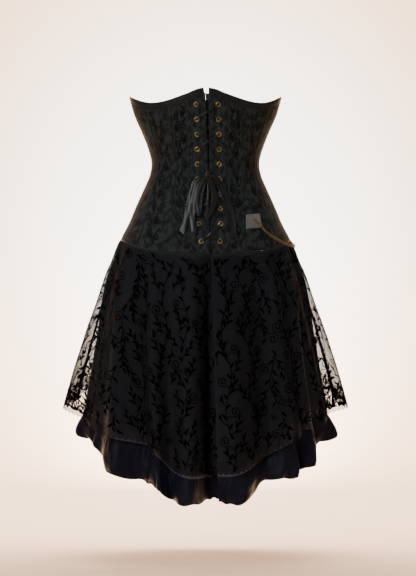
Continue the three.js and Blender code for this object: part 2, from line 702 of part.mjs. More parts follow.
// The patch lies on the faces of its panel, so it has a line where they have one
function patchGrids(panel) {
  const lift = SEAM_GAP + 0.05;
  const grid = (out) =>
    [PATCH.low, PATCH.line, PATCH.high].map((row, r) =>
      PATCH.columns.map((column, c) => {
        const tilted = r === 1 ? row : row + PATCH.tilt * (c / 2);
        const { point, normal } = onGrid(panel.outer, column, tilted);
        return point.addScaledVector(normal, lift + out);
      }),
    );
  return { inner: grid(0), outer: grid(WALL.patch) };
}

function addChain(from, to) {
  const route = CHAIN_ROUTE.map(({ angle, z, out }) => figurePoint(angle, z, out));
  const lift = GROMMET_SECTION[3].up + 2 * SEAM_GAP + CHAIN.radius;
  const [first, last] = [from, to].map(({ point, normal }) => point.clone().addScaledVector(normal, lift));
  const line = [first, ...route, last];
  const shape = new THREE.Shape();
  for (let i = 0; i < CHAIN.sides; i++) {
    const turn = (2 * Math.PI * i) / CHAIN.sides;
    const [x, y] = [CHAIN.radius * Math.cos(turn), CHAIN.radius * Math.sin(turn)];
    if (i === 0) shape.moveTo(x, y);
    else shape.lineTo(x, y);
  }
  shape.closePath();
  for (const [name, way] of [["chain_upper", 1], ["chain_lower", -1]]) {
    const shifted = line.map((point, i) => {
      const along = line[Math.min(i + 1, line.length - 1)].clone().sub(line[Math.max(i - 1, 0)]);
      const outward = new THREE.Vector3(point.x, point.y, 0);
      return point.clone().addScaledVector(outward.cross(along).normalize(), way * CHAIN.apart);
    });
    const extrudePath = new THREE.CatmullRomCurve3(shifted, false, "centripetal");
    add(name, new THREE.ExtrudeGeometry(shape, { steps: CHAIN.steps, extrudePath }), BRONZE);
  }
}

function addCorset() {
  const places = {};
  const halves = {};
  for (const { name, way } of SIDES) {
    const panels = PANEL_NAMES.map((_, panel) => panelGrids(way, panel));
    halves[way] = panels;
    places[way] = Array.from({ length: EYELETS.count }, (_, number) => eyeletPlace(panels[0], number));
    panels.forEach((grids, panel) => {
      const geometry = panel === 0 ? punched(grids, places[way]) : wallGeometry(grids.outer, grids.inner);
      add(`corset_${PANEL_NAMES[panel]}_${name}`, geometry, BROCADE);
    });
    places[way].forEach((place, i) => addRing(`eyelet_${name}_${i + 1}`, EYELET_SECTION, place));
    addBinding(`top_binding_${name}`, panels);
    addPiping(`bottom_piping_${name}`, panels);
  }
  addModestyStrip();
  addLacing("lacing_from_left", places, -1);
  addLacing("lacing_from_right", places, 1);
  addBow();
  const patch = patchGrids(halves[1][1]);
  add("patch", wallGeometry(patch.outer, patch.inner), LEATHER);
  const patchPlace = onGrid(patch.outer, PATCH_GROMMET.column, PATCH_GROMMET.row);
  const frontPlace = onGrid(halves[1][FRONT_GROMMET.panel].outer, FRONT_GROMMET.column, FRONT_GROMMET.row);
  addRing("patch_grommet", GROMMET_SECTION, patchPlace);
  addRing("front_grommet", GROMMET_SECTION, frontPlace);
  addChain(patchPlace, frontPlace);
}

// The skirt's top edge, below the piping
function skirtTop(angle) {
  const turned = Math.abs(angle - leanAt(angle, FIGURE[0].z));
  return read(CORSET_EDGES, "angle", "bottom", turned) - 2 * SEAM_GAP - 2 * PIPING_RADIUS;
}

// A point of the satin's inside: s counts folds from the centre back, z is its height
function skirtPoint(folds, s, z, extra = 0) {
  const seam = readFold(folds, "seam", s);
  const top = skirtTop(readFold(folds, "top", s));
  const down = Math.max((z - top) / (seam - top), 0);
  const angle = lerp(readFold(folds, "top", s), readFold(folds, "hem", s), down);
  const body = sizesAt(FIGURE, z);
  const wide = sizesAt(SKIRT, z);
  const spread = smoothstep(down, 0, SKIRT_SPREAD);
  const size = {};
  for (const key of ["half", "back", "front"]) size[key] = lerp(body[key], wide[key], spread);
  const fold = FOLD_DEPTH * down ** FOLD_GROWTH * readFold(folds, "out", s);
  return outlinePoint(size, angle, z, fold + extra);
}

// The level direction that faces out from a surface at a place
function outwardAt(surface, s, w) {
  const step = 0.01;
  const along = surface(s + step, w).sub(surface(s - step, w)).setZ(0).normalize();
  const normal = new THREE.Vector3(along.y, -along.x, 0);
  const point = surface(s, w);
  return normal.x * point.x + normal.y * point.y < 0 ? normal.negate() : normal;
}

// A wall of cloth outside a surface, with its columns and rows; outAt tells which way is out
function clothGeometry(surface, columns, rows, thick, outAt = outwardAt) {
  const inner = rows.map((w) => columns.map((s) => surface(s, w)));
  const outer = rows.map((w, r) =>
    columns.map((s, c) => inner[r][c].clone().addScaledVector(outAt(surface, s, w), thick)),
  );
  return wallGeometry(outer, inner);
}

const foldColumns = (from, to, step) => {
  const count = Math.round((to - from) / step);
  const inset = FOLD_SEAM_GAP / 2;
  return Array.from({ length: count + 1 }, (_, i) => clamp(from + i * step, from + inset, to - inset));
};

function addSkirt() {
  for (const { name, folds, sideSeam, ruffleFrom, tuck } of SIDES) {
    const last = folds.length - 1;
    const topOf = (s) => skirtTop(readFold(folds, "top", s));
    const satin = (s, w) => skirtPoint(folds, s, lerp(topOf(s), readFold(folds, "seam", s), w));
    const quarter = (from, to) => clothGeometry(satin, foldColumns(from, to, 0.5), SKIRT_ROWS, WALL.satin);
    add(`skirt_back_${name}`, quarter(0, sideSeam), SATIN);
    add(`skirt_front_${name}`, quarter(sideSeam, last), SATIN);

    const between = (s, pointAt) => {
      const low = clamp(Math.floor(2 * s) / 2, 0, last - 0.5);
      return pointAt(low).lerp(pointAt(low + 0.5), 2 * (s - low));
    };
    const hem = (s, extra) => between(s, (t) => skirtPoint(folds, t, readFold(folds, "seam", t), extra));
    const hemOut = (s) => between(s, (t) => outwardAt(satin, t, 1));
    const ruffleOut = (surface, s, w) => (w > 0 ? outwardAt(surface, s, w) : hemOut(s));
    const ruffle = (s, w) => {
      const uneven = 1 + RUFFLE.unevenness * Math.cos(RUFFLE.drift * s);
      const wave = RUFFLE.wave * uneven * Math.cos(2 * Math.PI * RUFFLE.wavesPerFold * s);
      const point = hem(s, (RUFFLE.flare + wave) * w * smoothstep(s, ...tuck));
      return point.setZ(lerp(point.z - RUFFLE.gap, readFold(folds, "ruffle", s), w));
    };
    const ruffleColumns = foldColumns(ruffleFrom, last, 0.25);
    add(`ruffle_${name}`, clothGeometry(ruffle, ruffleColumns, [0, 0.5, 1], WALL.ruffle, ruffleOut), SATIN);

    const net = (s, z) => {
      const base = (t) => skirtPoint(folds, t, z);
      const out = outwardAt(base, s, z).multiplyScalar(WALL.satin + NET_CLEARANCE);
      const angle = readFold(folds, "hem", s);
      const flare = read(NET_FLARE, "z", "out", z) * Math.sin(degToRad(angle)) ** 2;
      return skirtPoint(folds, s, z, flare).add(out);
    };
    const laceTop = (s) => readFold(folds, "lace", s) + LACE_HEIGHT;
    const overlay = (s, w) => net(s, lerp(topOf(s), laceTop(s), w));
    const lace = (s, w) => net(s, lerp(laceTop(s) - SEAM_GAP, readFold(folds, "lace", s), w));
    add(`overlay_${name}`, clothGeometry(overlay, foldColumns(0, last, 0.5), SKIRT_ROWS, WALL.net), NET);
    add(`lace_trim_${name}`, clothGeometry(lace, foldColumns(0, last, 0.5), [0, 1], WALL.lace), NET);
  }
}

addCorset();
addSkirt();

export default part;
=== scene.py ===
# %% [markdown]
# # A laced corset dress
# The dress stands filled out as if worn, seen from its laced back. It starts from the packed
# solids, which give every place and size. Each cloth piece is then made again as a finer shell
# on the same curves, so it can carry folds, gathers, stitching and a real finish.

# %% The frame
import math
import bpy
import numpy as np
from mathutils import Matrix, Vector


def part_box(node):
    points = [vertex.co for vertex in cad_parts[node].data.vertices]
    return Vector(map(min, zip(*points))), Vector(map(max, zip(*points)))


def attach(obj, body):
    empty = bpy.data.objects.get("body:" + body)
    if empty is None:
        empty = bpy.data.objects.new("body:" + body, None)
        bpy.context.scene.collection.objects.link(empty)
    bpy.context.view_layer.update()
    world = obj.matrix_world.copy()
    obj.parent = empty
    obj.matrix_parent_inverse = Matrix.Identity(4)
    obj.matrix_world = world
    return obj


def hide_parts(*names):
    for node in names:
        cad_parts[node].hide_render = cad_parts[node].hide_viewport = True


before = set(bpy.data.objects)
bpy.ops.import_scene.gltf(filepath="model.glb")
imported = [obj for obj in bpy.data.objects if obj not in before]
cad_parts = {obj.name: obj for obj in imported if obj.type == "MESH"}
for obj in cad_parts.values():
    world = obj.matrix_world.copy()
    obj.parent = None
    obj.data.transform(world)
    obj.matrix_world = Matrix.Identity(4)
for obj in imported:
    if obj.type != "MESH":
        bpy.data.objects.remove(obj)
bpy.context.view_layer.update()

MM = 0.001
print("solids in the frame:", len(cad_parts))

# %% [markdown]
# ## The camera
# The photograph looks level at the back from a few metres away. A long lens keeps the skirt's
# sides from spreading, as a product photographer would have it.

# %% Camera
CAMERA_PLACE = (0.0055, -4.5, -0.2706)
CAMERA_LENS = 127.8

camera_data = bpy.data.cameras.new("camera")
camera_data.lens = CAMERA_LENS
camera = bpy.data.objects.new("camera", camera_data)
camera.location = CAMERA_PLACE
camera.rotation_euler = (math.radians(90), 0, 0)
bpy.context.scene.collection.objects.link(camera)
bpy.context.scene.camera = camera
print("camera at", CAMERA_PLACE)

# %% [markdown]
# ## Reading the pattern
# A dressmaker's block is a short table of measures with smooth curves drawn through them. The
# same is done here: each table has a few rows, and `smooth` draws the curve between them.

# %% Smooth curves through a short table
def table(columns, rows):
    data = np.array(rows, dtype=float)
    return {name: data[:, i] for i, name in enumerate(columns.split())}


def smooth(xs, ys, at):
    at = np.clip(at, xs[0], xs[-1])
    last = len(xs) - 1
    low = np.maximum(np.arange(last + 1) - 1, 0)
    high = np.minimum(np.arange(last + 1) + 1, last)
    slope = (ys[high] - ys[low]) / (xs[high] - xs[low])
    i = np.clip(np.searchsorted(xs, at, side="left") - 1, 0, last - 1)
    span = xs[i + 1] - xs[i]
    t = (at - xs[i]) / span
    bend = t * t * (3 - 2 * t)
    ends = t * (1 - t) ** 2 * span * slope[i] - t * t * (1 - t) * span * slope[i + 1]
    return ys[i] + (ys[i + 1] - ys[i]) * bend + ends


def ease(at, low, high):
    t = np.clip((at - low) / (high - low), 0, 1)
    return t * t * (3 - 2 * t)


# %% Vectors and lines
def unit(vectors):
    return vectors / np.linalg.norm(vectors, axis=-1, keepdims=True)


def joined(*columns):
    return np.stack(np.broadcast_arrays(*columns), axis=-1)


def whole_turn(count):
    return np.linspace(0, 2 * np.pi, count, endpoint=False)


def line_length(line):
    return float(np.linalg.norm(np.diff(line, axis=0), axis=-1).sum())


def run_along(line):
    return np.concatenate([[0], np.cumsum(np.linalg.norm(np.diff(line, axis=0), axis=-1))])


def point_at(distance, run, line):
    return np.stack([np.interp(distance, run, line[:, k]) for k in range(3)], axis=-1)


def spread_evenly(values, count):
    return np.interp(np.linspace(0, len(values) - 1, count), np.arange(len(values)), values)


# %% The figure inside the cloth, in millimetres
FIGURE = table("z half back front", [
    (-200, 193, 125, 122), (-169, 186.5, 121, 119), (-130, 166.5, 113, 112), (-90, 149.5, 103, 102),
    (-51, 132, 93, 92), (-24, 120.5, 88, 87), (2, 116, 86, 86), (29, 121.5, 88, 93),
    (68, 136, 91, 104), (108, 153.5, 94, 116), (147, 164.5, 95, 124), (172, 169, 96, 128),
])
CORSET_EDGES = table("angle top bottom", [
    (0, 161, -196), (7, 157, -196), (14, 149, -195), (25, 139, -193), (36, 132, -189),
    (48, 130, -183), (60, 135, -175), (75, 144, -166), (90, 149, -161), (110, 144, -167),
    (131, 138, -181), (158, 154, -196), (180, 170, -200),
])
CENTRE_BACK = table("z x gap", [
    (-200, 12, 0.8), (-165, 11, 0.8), (-35, 6.5, 1), (30, 6, 1.8), (126, 4, 2.8), (145, 2.5, 4),
    (172, 1, 6.5),
])
SEAMS = table("z first second third fourth last", [
    (-180, 21, 52, 90, 128, 180), (0, 34.5, 60, 90, 120, 180), (150, 27, 55, 90, 125, 180),
])


def outline(size, angle, z, out):
    sin, cos = np.sin(np.radians(angle)), np.cos(np.radians(angle))
    depth = np.where(cos > 0, size["back"], size["front"])
    nx, ny = sin / size["half"], -cos / depth
    length = np.hypot(nx, ny)
    x = size["half"] * sin + out * nx / length
    y = -depth * cos + out * ny / length
    return joined(x, y, z)


def sizes(rows, z):
    return {name: smooth(rows["z"], rows[name], z) for name in ("half", "back", "front")}


def on_figure(angle, z, out):
    return outline(sizes(FIGURE, z), angle, z, out)


def back_angle(x, z):
    return np.degrees(np.arcsin(x / smooth(FIGURE["z"], FIGURE["half"], z)))


def centre_x(z):
    return smooth(CENTRE_BACK["z"], CENTRE_BACK["x"], z)


def lean(angle, z):
    return back_angle(centre_x(z), z) * (1 + np.cos(np.radians(angle))) / 2


print("waist across:", round(2 * float(FIGURE["half"].min()), 1), "mm")

# %% [markdown]
# ## From points to a piece
# Every cloth piece is a grid of points. A wall has an outer and an inner grid joined by rims, a
# net or lace is one grid. The grid's own measure across and down is kept as its UV map, so a
# weave or a motif has its true size anywhere on the cloth.

# %% Grids, walls and meshes
SHARP_ANGLE = 50
LEAST_FILL = 0.31


def grid_faces(rows, columns, start=0):
    at = start + np.arange(rows * columns).reshape(rows, columns)
    return np.stack([at[:-1, :-1], at[:-1, 1:], at[1:, 1:], at[1:, :-1]], axis=-1).reshape(-1, 4)


def wall_faces(rows, columns):
    count = rows * columns
    outer = grid_faces(rows, columns)
    inner = grid_faces(rows, columns, count)[:, ::-1]
    at = np.arange(count).reshape(rows, columns)
    edge = np.concatenate([at[0, ::-1], at[1:, 0], at[-1, 1:], at[-2:0:-1, -1]])
    after = np.roll(edge, -1)
    rim = np.stack([edge, after, after + count, edge + count], axis=-1)
    return outer, inner, rim


def ring_faces(rings, sides):
    at = np.arange(rings * sides).reshape(rings, sides)
    beside, after = np.roll(at, -1, axis=0), np.roll(at, -1, axis=1)
    return np.stack([at, beside, np.roll(beside, -1, axis=1), after], axis=-1).reshape(-1, 4)


def tube_faces(count, sides, closed_ends=True):
    at = np.arange(count * sides).reshape(count, sides)
    beside = np.roll(at, -1, axis=1)
    faces = np.stack([at[:-1], beside[:-1], beside[1:], at[1:]], axis=-1).reshape(-1, 4).tolist()
    if closed_ends:
        faces += [at[0, ::-1].tolist(), at[-1].tolist()]
    return faces


def merged(parts):
    points, faces, count = [], [], 0
    for own_points, own_faces in parts:
        points.append(own_points)
        faces.append(own_faces + count)
        count += len(own_points)
    return np.concatenate(points), np.concatenate(faces)


def make_piece(name, points, faces, uv, materials, slots=None):
    mesh = bpy.data.meshes.new(name)
    points = np.asarray(points, dtype=float).reshape(-1, 3)
    mesh.from_pydata((points * MM).tolist(), [], [list(map(int, f)) for f in faces])
    layer = mesh.uv_layers.new(name="UVMap")
    corner = np.empty(len(mesh.loops), dtype=np.int32)
    mesh.loops.foreach_get("vertex_index", corner)
    flat = np.asarray(uv, dtype=float).reshape(-1, 2) * MM
    layer.data.foreach_set("uv", flat[corner].ravel())
    for material in materials:
        mesh.materials.append(material)
    if slots is not None:
        mesh.polygons.foreach_set("material_index", np.asarray(slots, dtype=np.int32))
    mesh.shade_smooth()
    mesh.update()
    piece = bpy.data.objects.new(name, mesh)
    bpy.context.scene.collection.objects.link(piece)
    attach(piece, "root")
    return piece


def make_wall(name, outer, inner, across, down, outside, inside=None):
    rows, columns = outer.shape[:2]
    faces = wall_faces(rows, columns)
    uv = joined(across, down).reshape(-1, 2)
    kinds = np.concatenate([np.full(len(f), k) for f, k in zip(faces, (0, 1 if inside else 0, 0))])
    points = np.concatenate([outer.reshape(-1, 3), inner.reshape(-1, 3)])
    shown = (outside, inside) if inside else (outside,)
    piece = make_piece(name, points, np.concatenate(faces), np.concatenate([uv, uv]), shown, kinds)
    piece.data.set_sharp_from_angle(angle=math.radians(SHARP_ANGLE))
    return piece


def cloth_area(grid):
    across = grid[:-1, 1:] - grid[:-1, :-1]
    down = grid[1:, :-1] - grid[:-1, :-1]
    return float(np.linalg.norm(np.cross(across, down), axis=-1).sum()) * MM * MM


def declare_cloth(piece, grid):
    width = float(np.linalg.norm(np.diff(grid, axis=1), axis=-1).sum(axis=1).max()) * MM
    length = float(np.linalg.norm(np.diff(grid, axis=0), axis=-1).sum(axis=0).max()) * MM
    area = min(max(cloth_area(grid), LEAST_FILL * width * length), width * length)
    print(f"{piece.name}: cut {width:.3f} x {length:.3f} m, area {area:.3f} m2")


# %% [markdown]
# ## Finishes
# Black cloth is told apart by its sheen and its weave more than by its colour. Three shader
# groups are shared: a fine weave, a slow unevenness of the cloth, and the wear of metal. Each
# finish places them with its own values and keeps its own shader.

# %% Shader helpers
def link(tree, source, target):
    tree.links.new(source, target)


def add_node(tree, kind, values=None, **settings):
    node = tree.nodes.new("ShaderNode" + kind)
    for title, value in settings.items():
        setattr(node, title, value)
    for title, value in (values or {}).items():
        node.inputs[title].default_value = value
    return node


def uv_place(tree):
    return add_node(tree, "UVMap", uv_map="UVMap").outputs[0]


def remap(tree, source, values, **settings):
    ramp = add_node(tree, "MapRange", values, **settings)
    link(tree, source, ramp.inputs["Value"])
    return ramp.outputs[0]


def colour_between(tree, factor, first, second):
    mix = add_node(tree, "Mix", data_type="RGBA")
    mix.inputs["A"].default_value = (*first, 1)
    mix.inputs["B"].default_value = (*second, 1)
    link(tree, factor, mix.inputs["Factor"])
    link(tree, mix.outputs["Result"], tree.nodes["Principled BSDF"].inputs["Base Color"])


def raise_by(tree, height, strength, distance):
    bump = add_node(tree, "Bump", {"Strength": strength, "Distance": distance})
    link(tree, height, bump.inputs["Height"])
    link(tree, bump.outputs[0], tree.nodes["Principled BSDF"].inputs["Normal"])


def new_material(name):
    material = bpy.data.materials.new(name)
    material.use_nodes = True
    return material, material.node_tree, material.node_tree.nodes["Principled BSDF"]


def new_group(name, inputs, outputs):
    group = bpy.data.node_groups.new(name, "ShaderNodeTree")
    for title, value in inputs.items():
        socket = group.interface.new_socket(title, in_out="INPUT", socket_type="NodeSocketFloat")
        socket.default_value = value
    for title, kind in outputs.items():
        group.interface.new_socket(title, in_out="OUTPUT", socket_type=kind)
    start = group.nodes.new("NodeGroupInput")
    end = group.nodes.new("NodeGroupOutput")
    return group, start, end


def place_group(tree, group, **values):
    node = tree.nodes.new("ShaderNodeGroup")
    node.node_tree = group
    for title, value in values.items():
        node.inputs[title].default_value = value
    return node


def maths(tree, operation, a, b=None):
    node = tree.nodes.new("ShaderNodeMath")
    node.operation = operation
    for socket, value in zip(node.inputs, (a, b)):
        if value is None:
            continue
        if isinstance(value, (int, float)):
            socket.default_value = value
        else:
            tree.links.new(value, socket)
    return node.outputs[0]


# %% Group: a fine weave
weave_group, start, end = new_group(
    "fine weave", {"Across": 900.0, "Down": 900.0}, {"Height": "NodeSocketFloat"})
split = add_node(weave_group, "SeparateXYZ")
link(weave_group, uv_place(weave_group), split.inputs[0])
warp = maths(weave_group, "MULTIPLY", split.outputs[0], start.outputs["Across"])
weft = maths(weave_group, "MULTIPLY", split.outputs[1], start.outputs["Down"])
warp = maths(weave_group, "SINE", maths(weave_group, "MULTIPLY", warp, 2 * math.pi))
weft = maths(weave_group, "SINE", maths(weave_group, "MULTIPLY", weft, 2 * math.pi))
weave = maths(weave_group, "MULTIPLY", warp, weft)
height = maths(weave_group, "ADD", maths(weave_group, "MULTIPLY", weave, 0.5), 0.5)
link(weave_group, height, end.inputs["Height"])
print("group:", weave_group.name)

# %% Group: slow unevenness of a cloth
uneven_group, start, end = new_group(
    "uneven cloth", {"Scale": 18.0, "Stretch": 0.25}, {"Mask": "NodeSocketFloat"})
split = add_node(uneven_group, "SeparateXYZ")
join = add_node(uneven_group, "CombineXYZ")
stretched = maths(uneven_group, "MULTIPLY", split.outputs[1], start.outputs["Stretch"])
link(uneven_group, uv_place(uneven_group), split.inputs[0])
link(uneven_group, split.outputs[0], join.inputs[0])
link(uneven_group, stretched, join.inputs[1])
noise = add_node(uneven_group, "TexNoise", {"Detail": 5, "Roughness": 0.6})
link(uneven_group, join.outputs[0], noise.inputs["Vector"])
link(uneven_group, start.outputs["Scale"], noise.inputs["Scale"])
link(uneven_group, noise.outputs["Fac"], end.inputs["Mask"])
print("group:", uneven_group.name)

# %% Group: worn metal
wear_group, start, end = new_group(
    "worn metal", {"Scale": 420.0}, {"Mask": "NodeSocketFloat", "Height": "NodeSocketFloat"})
place = add_node(wear_group, "TexCoord")
coarse = add_node(wear_group, "TexNoise")
fine = add_node(wear_group, "TexNoise", {"Detail": 6})
link(wear_group, place.outputs["Object"], coarse.inputs["Vector"])
link(wear_group, place.outputs["Object"], fine.inputs["Vector"])
link(wear_group, start.outputs["Scale"], coarse.inputs["Scale"])
link(wear_group, maths(wear_group, "MULTIPLY", start.outputs["Scale"], 5.0), fine.inputs["Scale"])
rubbed = remap(wear_group, coarse.outputs["Fac"], {"From Min": 0.4, "From Max": 0.65})
link(wear_group, rubbed, end.inputs["Mask"])
link(wear_group, fine.outputs["Fac"], end.inputs["Height"])
print("group:", wear_group.name)


# %% A cloth finish from its values
THREAD_HEIGHT = 0.0003


def cloth(name, dark, light, rough, weave=(900, 900), bump=0.15, uneven=18, stretch=0.25,
          specular=0.5, contrast=0.2, rim=0.35):
    material, tree, shader = new_material(name)
    shader.inputs["Specular IOR Level"].default_value = specular
    shader.inputs["Specular Tint"].default_value = (rim, rim, rim, 1)
    patches = place_group(tree, uneven_group, Scale=uneven, Stretch=stretch)
    threads = place_group(tree, weave_group, Across=weave[0], Down=weave[1])
    mask = patches.outputs["Mask"]
    spread = remap(tree, mask, {"From Min": 0.5 - contrast, "From Max": 0.5 + contrast})
    colour_between(tree, spread, dark, light)
    gloss = remap(tree, mask, {"To Min": rough - 0.06, "To Max": rough + 0.08})
    link(tree, gloss, shader.inputs["Roughness"])
    raise_by(tree, threads.outputs["Height"], bump, THREAD_HEIGHT)
    return material


def see_through(material, low, high, cell):
    tree = material.node_tree
    shader = tree.nodes["Principled BSDF"]
    cells = add_node(tree, "TexVoronoi", feature="DISTANCE_TO_EDGE")
    cells.inputs["Scale"].default_value = 1 / (cell * MM)
    cells.inputs["Randomness"].default_value = 0.35
    link(tree, uv_place(tree), cells.inputs["Vector"])
    thread = remap(tree, cells.outputs["Distance"],
                   {"From Min": 0.04, "From Max": 0.13, "To Min": high, "To Max": low})
    facing = add_node(tree, "LayerWeight", {"Blend": 0.5})
    straight = maths(tree, "MAXIMUM", maths(tree, "SUBTRACT", 1.0, facing.outputs["Facing"]), 0.2)
    through = maths(tree, "SUBTRACT", 1.0, thread)
    slanted = maths(tree, "POWER", through, maths(tree, "DIVIDE", 1.0, straight))
    link(tree, maths(tree, "SUBTRACT", 1.0, slanted), shader.inputs["Alpha"])
    return material


# %% The finishes of the dress
BROCADE = cloth("brocade ground", (0.0098, 0.0122, 0.0132), (0.0238, 0.029, 0.0308), 0.56,
                weave=(1400, 700), bump=0.35, uneven=120, stretch=0.55, specular=0.07,
                contrast=0.07, rim=0.2)
SCROLL = cloth("brocade scroll", (0.0042, 0.0045, 0.0046), (0.007, 0.0075, 0.0076), 0.5,
               weave=(700, 2000), bump=0.2, specular=0.08)
LINING = cloth("cotton lining", (0.006, 0.006, 0.006), (0.011, 0.011, 0.011), 0.8, specular=0.1)
SATIN = cloth("skirt satin", (0.045, 0.046, 0.058), (0.068, 0.069, 0.085), 0.38, weave=(2400, 500),
              bump=0.06, uneven=14, stretch=0.15, specular=0.16, rim=0.15)
RUFFLE_SATIN = cloth("ruffle satin", (0.0058, 0.0062, 0.0112), (0.0102, 0.0108, 0.0188), 0.4,
                     weave=(2400, 500), bump=0.06, uneven=30, stretch=0.4, specular=0.15, rim=0.22)
TRIM_SATIN = cloth("trim satin", (0.0105, 0.011, 0.0115), (0.0175, 0.0185, 0.0195), 0.42,
                   weave=(1500, 1500), bump=0.12, uneven=60, specular=0.16)
RIBBON_SATIN = cloth("ribbon satin", (0.0075, 0.0078, 0.009), (0.012, 0.0124, 0.014), 0.33,
                     weave=(2400, 700), bump=0.08, uneven=45, stretch=0.2, specular=0.3, rim=0.75)
NET = see_through(cloth("black net", (0.0056, 0.006, 0.0074), (0.0082, 0.0087, 0.0104), 0.8,
                        specular=0.08), 0.43, 0.88, 1.3)
FLOCK = cloth("flock", (0.0012, 0.0012, 0.0014), (0.002, 0.002, 0.0023), 0.95, bump=0.3,
              weave=(2600, 2600), specular=0.03)
LACE = see_through(cloth("lace", (0.006, 0.0062, 0.0085), (0.0105, 0.0108, 0.014), 0.75,
                         specular=0.12), 0.5, 0.94, 3.4)
THREAD = cloth("sewing thread", (0.011, 0.011, 0.011), (0.018, 0.018, 0.018), 0.6, specular=0.2)
print("cloth finishes:", len(bpy.data.materials))

# %% [markdown]
# ## Metal and leather
# The eyelets, grommets and chain are one aged bronze: bright where it rubs, brown in its
# hollows. The patch is a coated grey leather with a fine pebble.

# %% Bronze and leather
BRONZE, tree, shader = new_material("aged bronze")
shader.inputs["Metallic"].default_value = 1.0
worn = place_group(tree, wear_group, Scale=520.0)
colour_between(tree, worn.outputs["Mask"], (0.09, 0.06, 0.026), (0.42, 0.31, 0.14))
gloss = remap(tree, worn.outputs["Mask"], {"To Min": 0.42, "To Max": 0.24})
link(tree, gloss, shader.inputs["Roughness"])
raise_by(tree, worn.outputs["Height"], 0.2, 0.0001)

LEATHER = cloth("grey leather", (0.09, 0.09, 0.096), (0.14, 0.14, 0.147), 0.45, bump=0.0, uneven=60,
                specular=0.3)
tree = LEATHER.node_tree
pebble = add_node(tree, "TexVoronoi", {"Scale": 900})
link(tree, uv_place(tree), pebble.inputs["Vector"])
raise_by(tree, pebble.outputs["Distance"], 0.35, THREAD_HEIGHT)
print("metal and leather:", BRONZE.name, LEATHER.name)

# %% [markdown]
# ## Lines for ribbons and chains
# A ribbon or a chain follows a few given points. The curve through them is a centripetal
# one, which doesn't overshoot at a sharp turn.

# %% A curve through hand-set points
def curve_through(points, per_span):
    points = np.asarray(points, dtype=float)
    padded = np.vstack([2 * points[0] - points[1], points, 2 * points[-1] - points[-2]])
    found = []
    for k in range(len(points) - 1):
        p0, p1, p2, p3 = padded[k:k + 4]
        d0, d1, d2 = (np.sqrt(np.linalg.norm(b - a)) for a, b in ((p0, p1), (p1, p2), (p2, p3)))
        m1 = ((p1 - p0) / d0 - (p2 - p0) / (d0 + d1) + (p2 - p1) / d1) * d1
        m2 = ((p2 - p1) / d1 - (p3 - p1) / (d1 + d2) + (p3 - p2) / d2) * d1
        for t in np.arange(per_span) / per_span:
            found.append(p1 + m1 * t + (3 * (p2 - p1) - 2 * m1 - m2) * t * t
                         + (2 * (p1 - p2) + m1 + m2) * t ** 3)
    found.append(points[-1])
    return np.array(found)


def across_back(points):
    size = sizes(FIGURE, points[:, 2])
    turn = np.radians(back_angle(points[:, 0], points[:, 2]))
    return unit(joined(size["half"] * np.cos(turn), size["back"] * np.sin(turn), 0 * turn))


def up_back(points):
    angle = back_angle(points[:, 0], points[:, 2])
    return unit(on_figure(angle, points[:, 2] + 1, 0.0) - on_figure(angle, points[:, 2] - 1, 0.0))


# %% A soft ribbon along a curve
RIBBON_PLACES = np.linspace(-1, 1, 7)
RIBBON_TIP = 8


def make_ribbon(name, line, halves, hints, thick, crease, slant=0.0):
    along = unit(np.gradient(line, axis=0))
    side = unit(hints - (hints * along).sum(axis=-1, keepdims=True) * along)
    face = np.cross(along, side)
    down = run_along(line)
    rise = crease * (np.abs(RIBBON_PLACES) - 0.5)[None, :] * np.sin(down * 0.09 + 0.7)[:, None]
    wide = RIBBON_PLACES[None, :] * halves[:, None]
    base = line[:, None] + side[:, None] * wide[..., None] + face[:, None] * rise[..., None]
    near_end = np.clip((down - down[-1] + RIBBON_TIP) / RIBBON_TIP, 0, 1)
    tip = near_end[:, None] * slant * RIBBON_PLACES[None, :]
    base += along[:, None] * tip[..., None]
    half_thick = thick * 0.5 * np.minimum(1, 0.35 + 2 * (1 - np.abs(RIBBON_PLACES)))
    lift = face[:, None] * half_thick[None, :, None]
    return make_wall(name, base + lift, base - lift, wide, down[:, None], RIBBON_SATIN)


# %% [markdown]
# ## The bow
# The lacing ends in a satin bow at the waist: four tails and two loops hang from its knot. They
# are the only free ribbons, so they come first. Each follows the route of its solid: how far
# across, how high, how far out from the body, and half its width there.

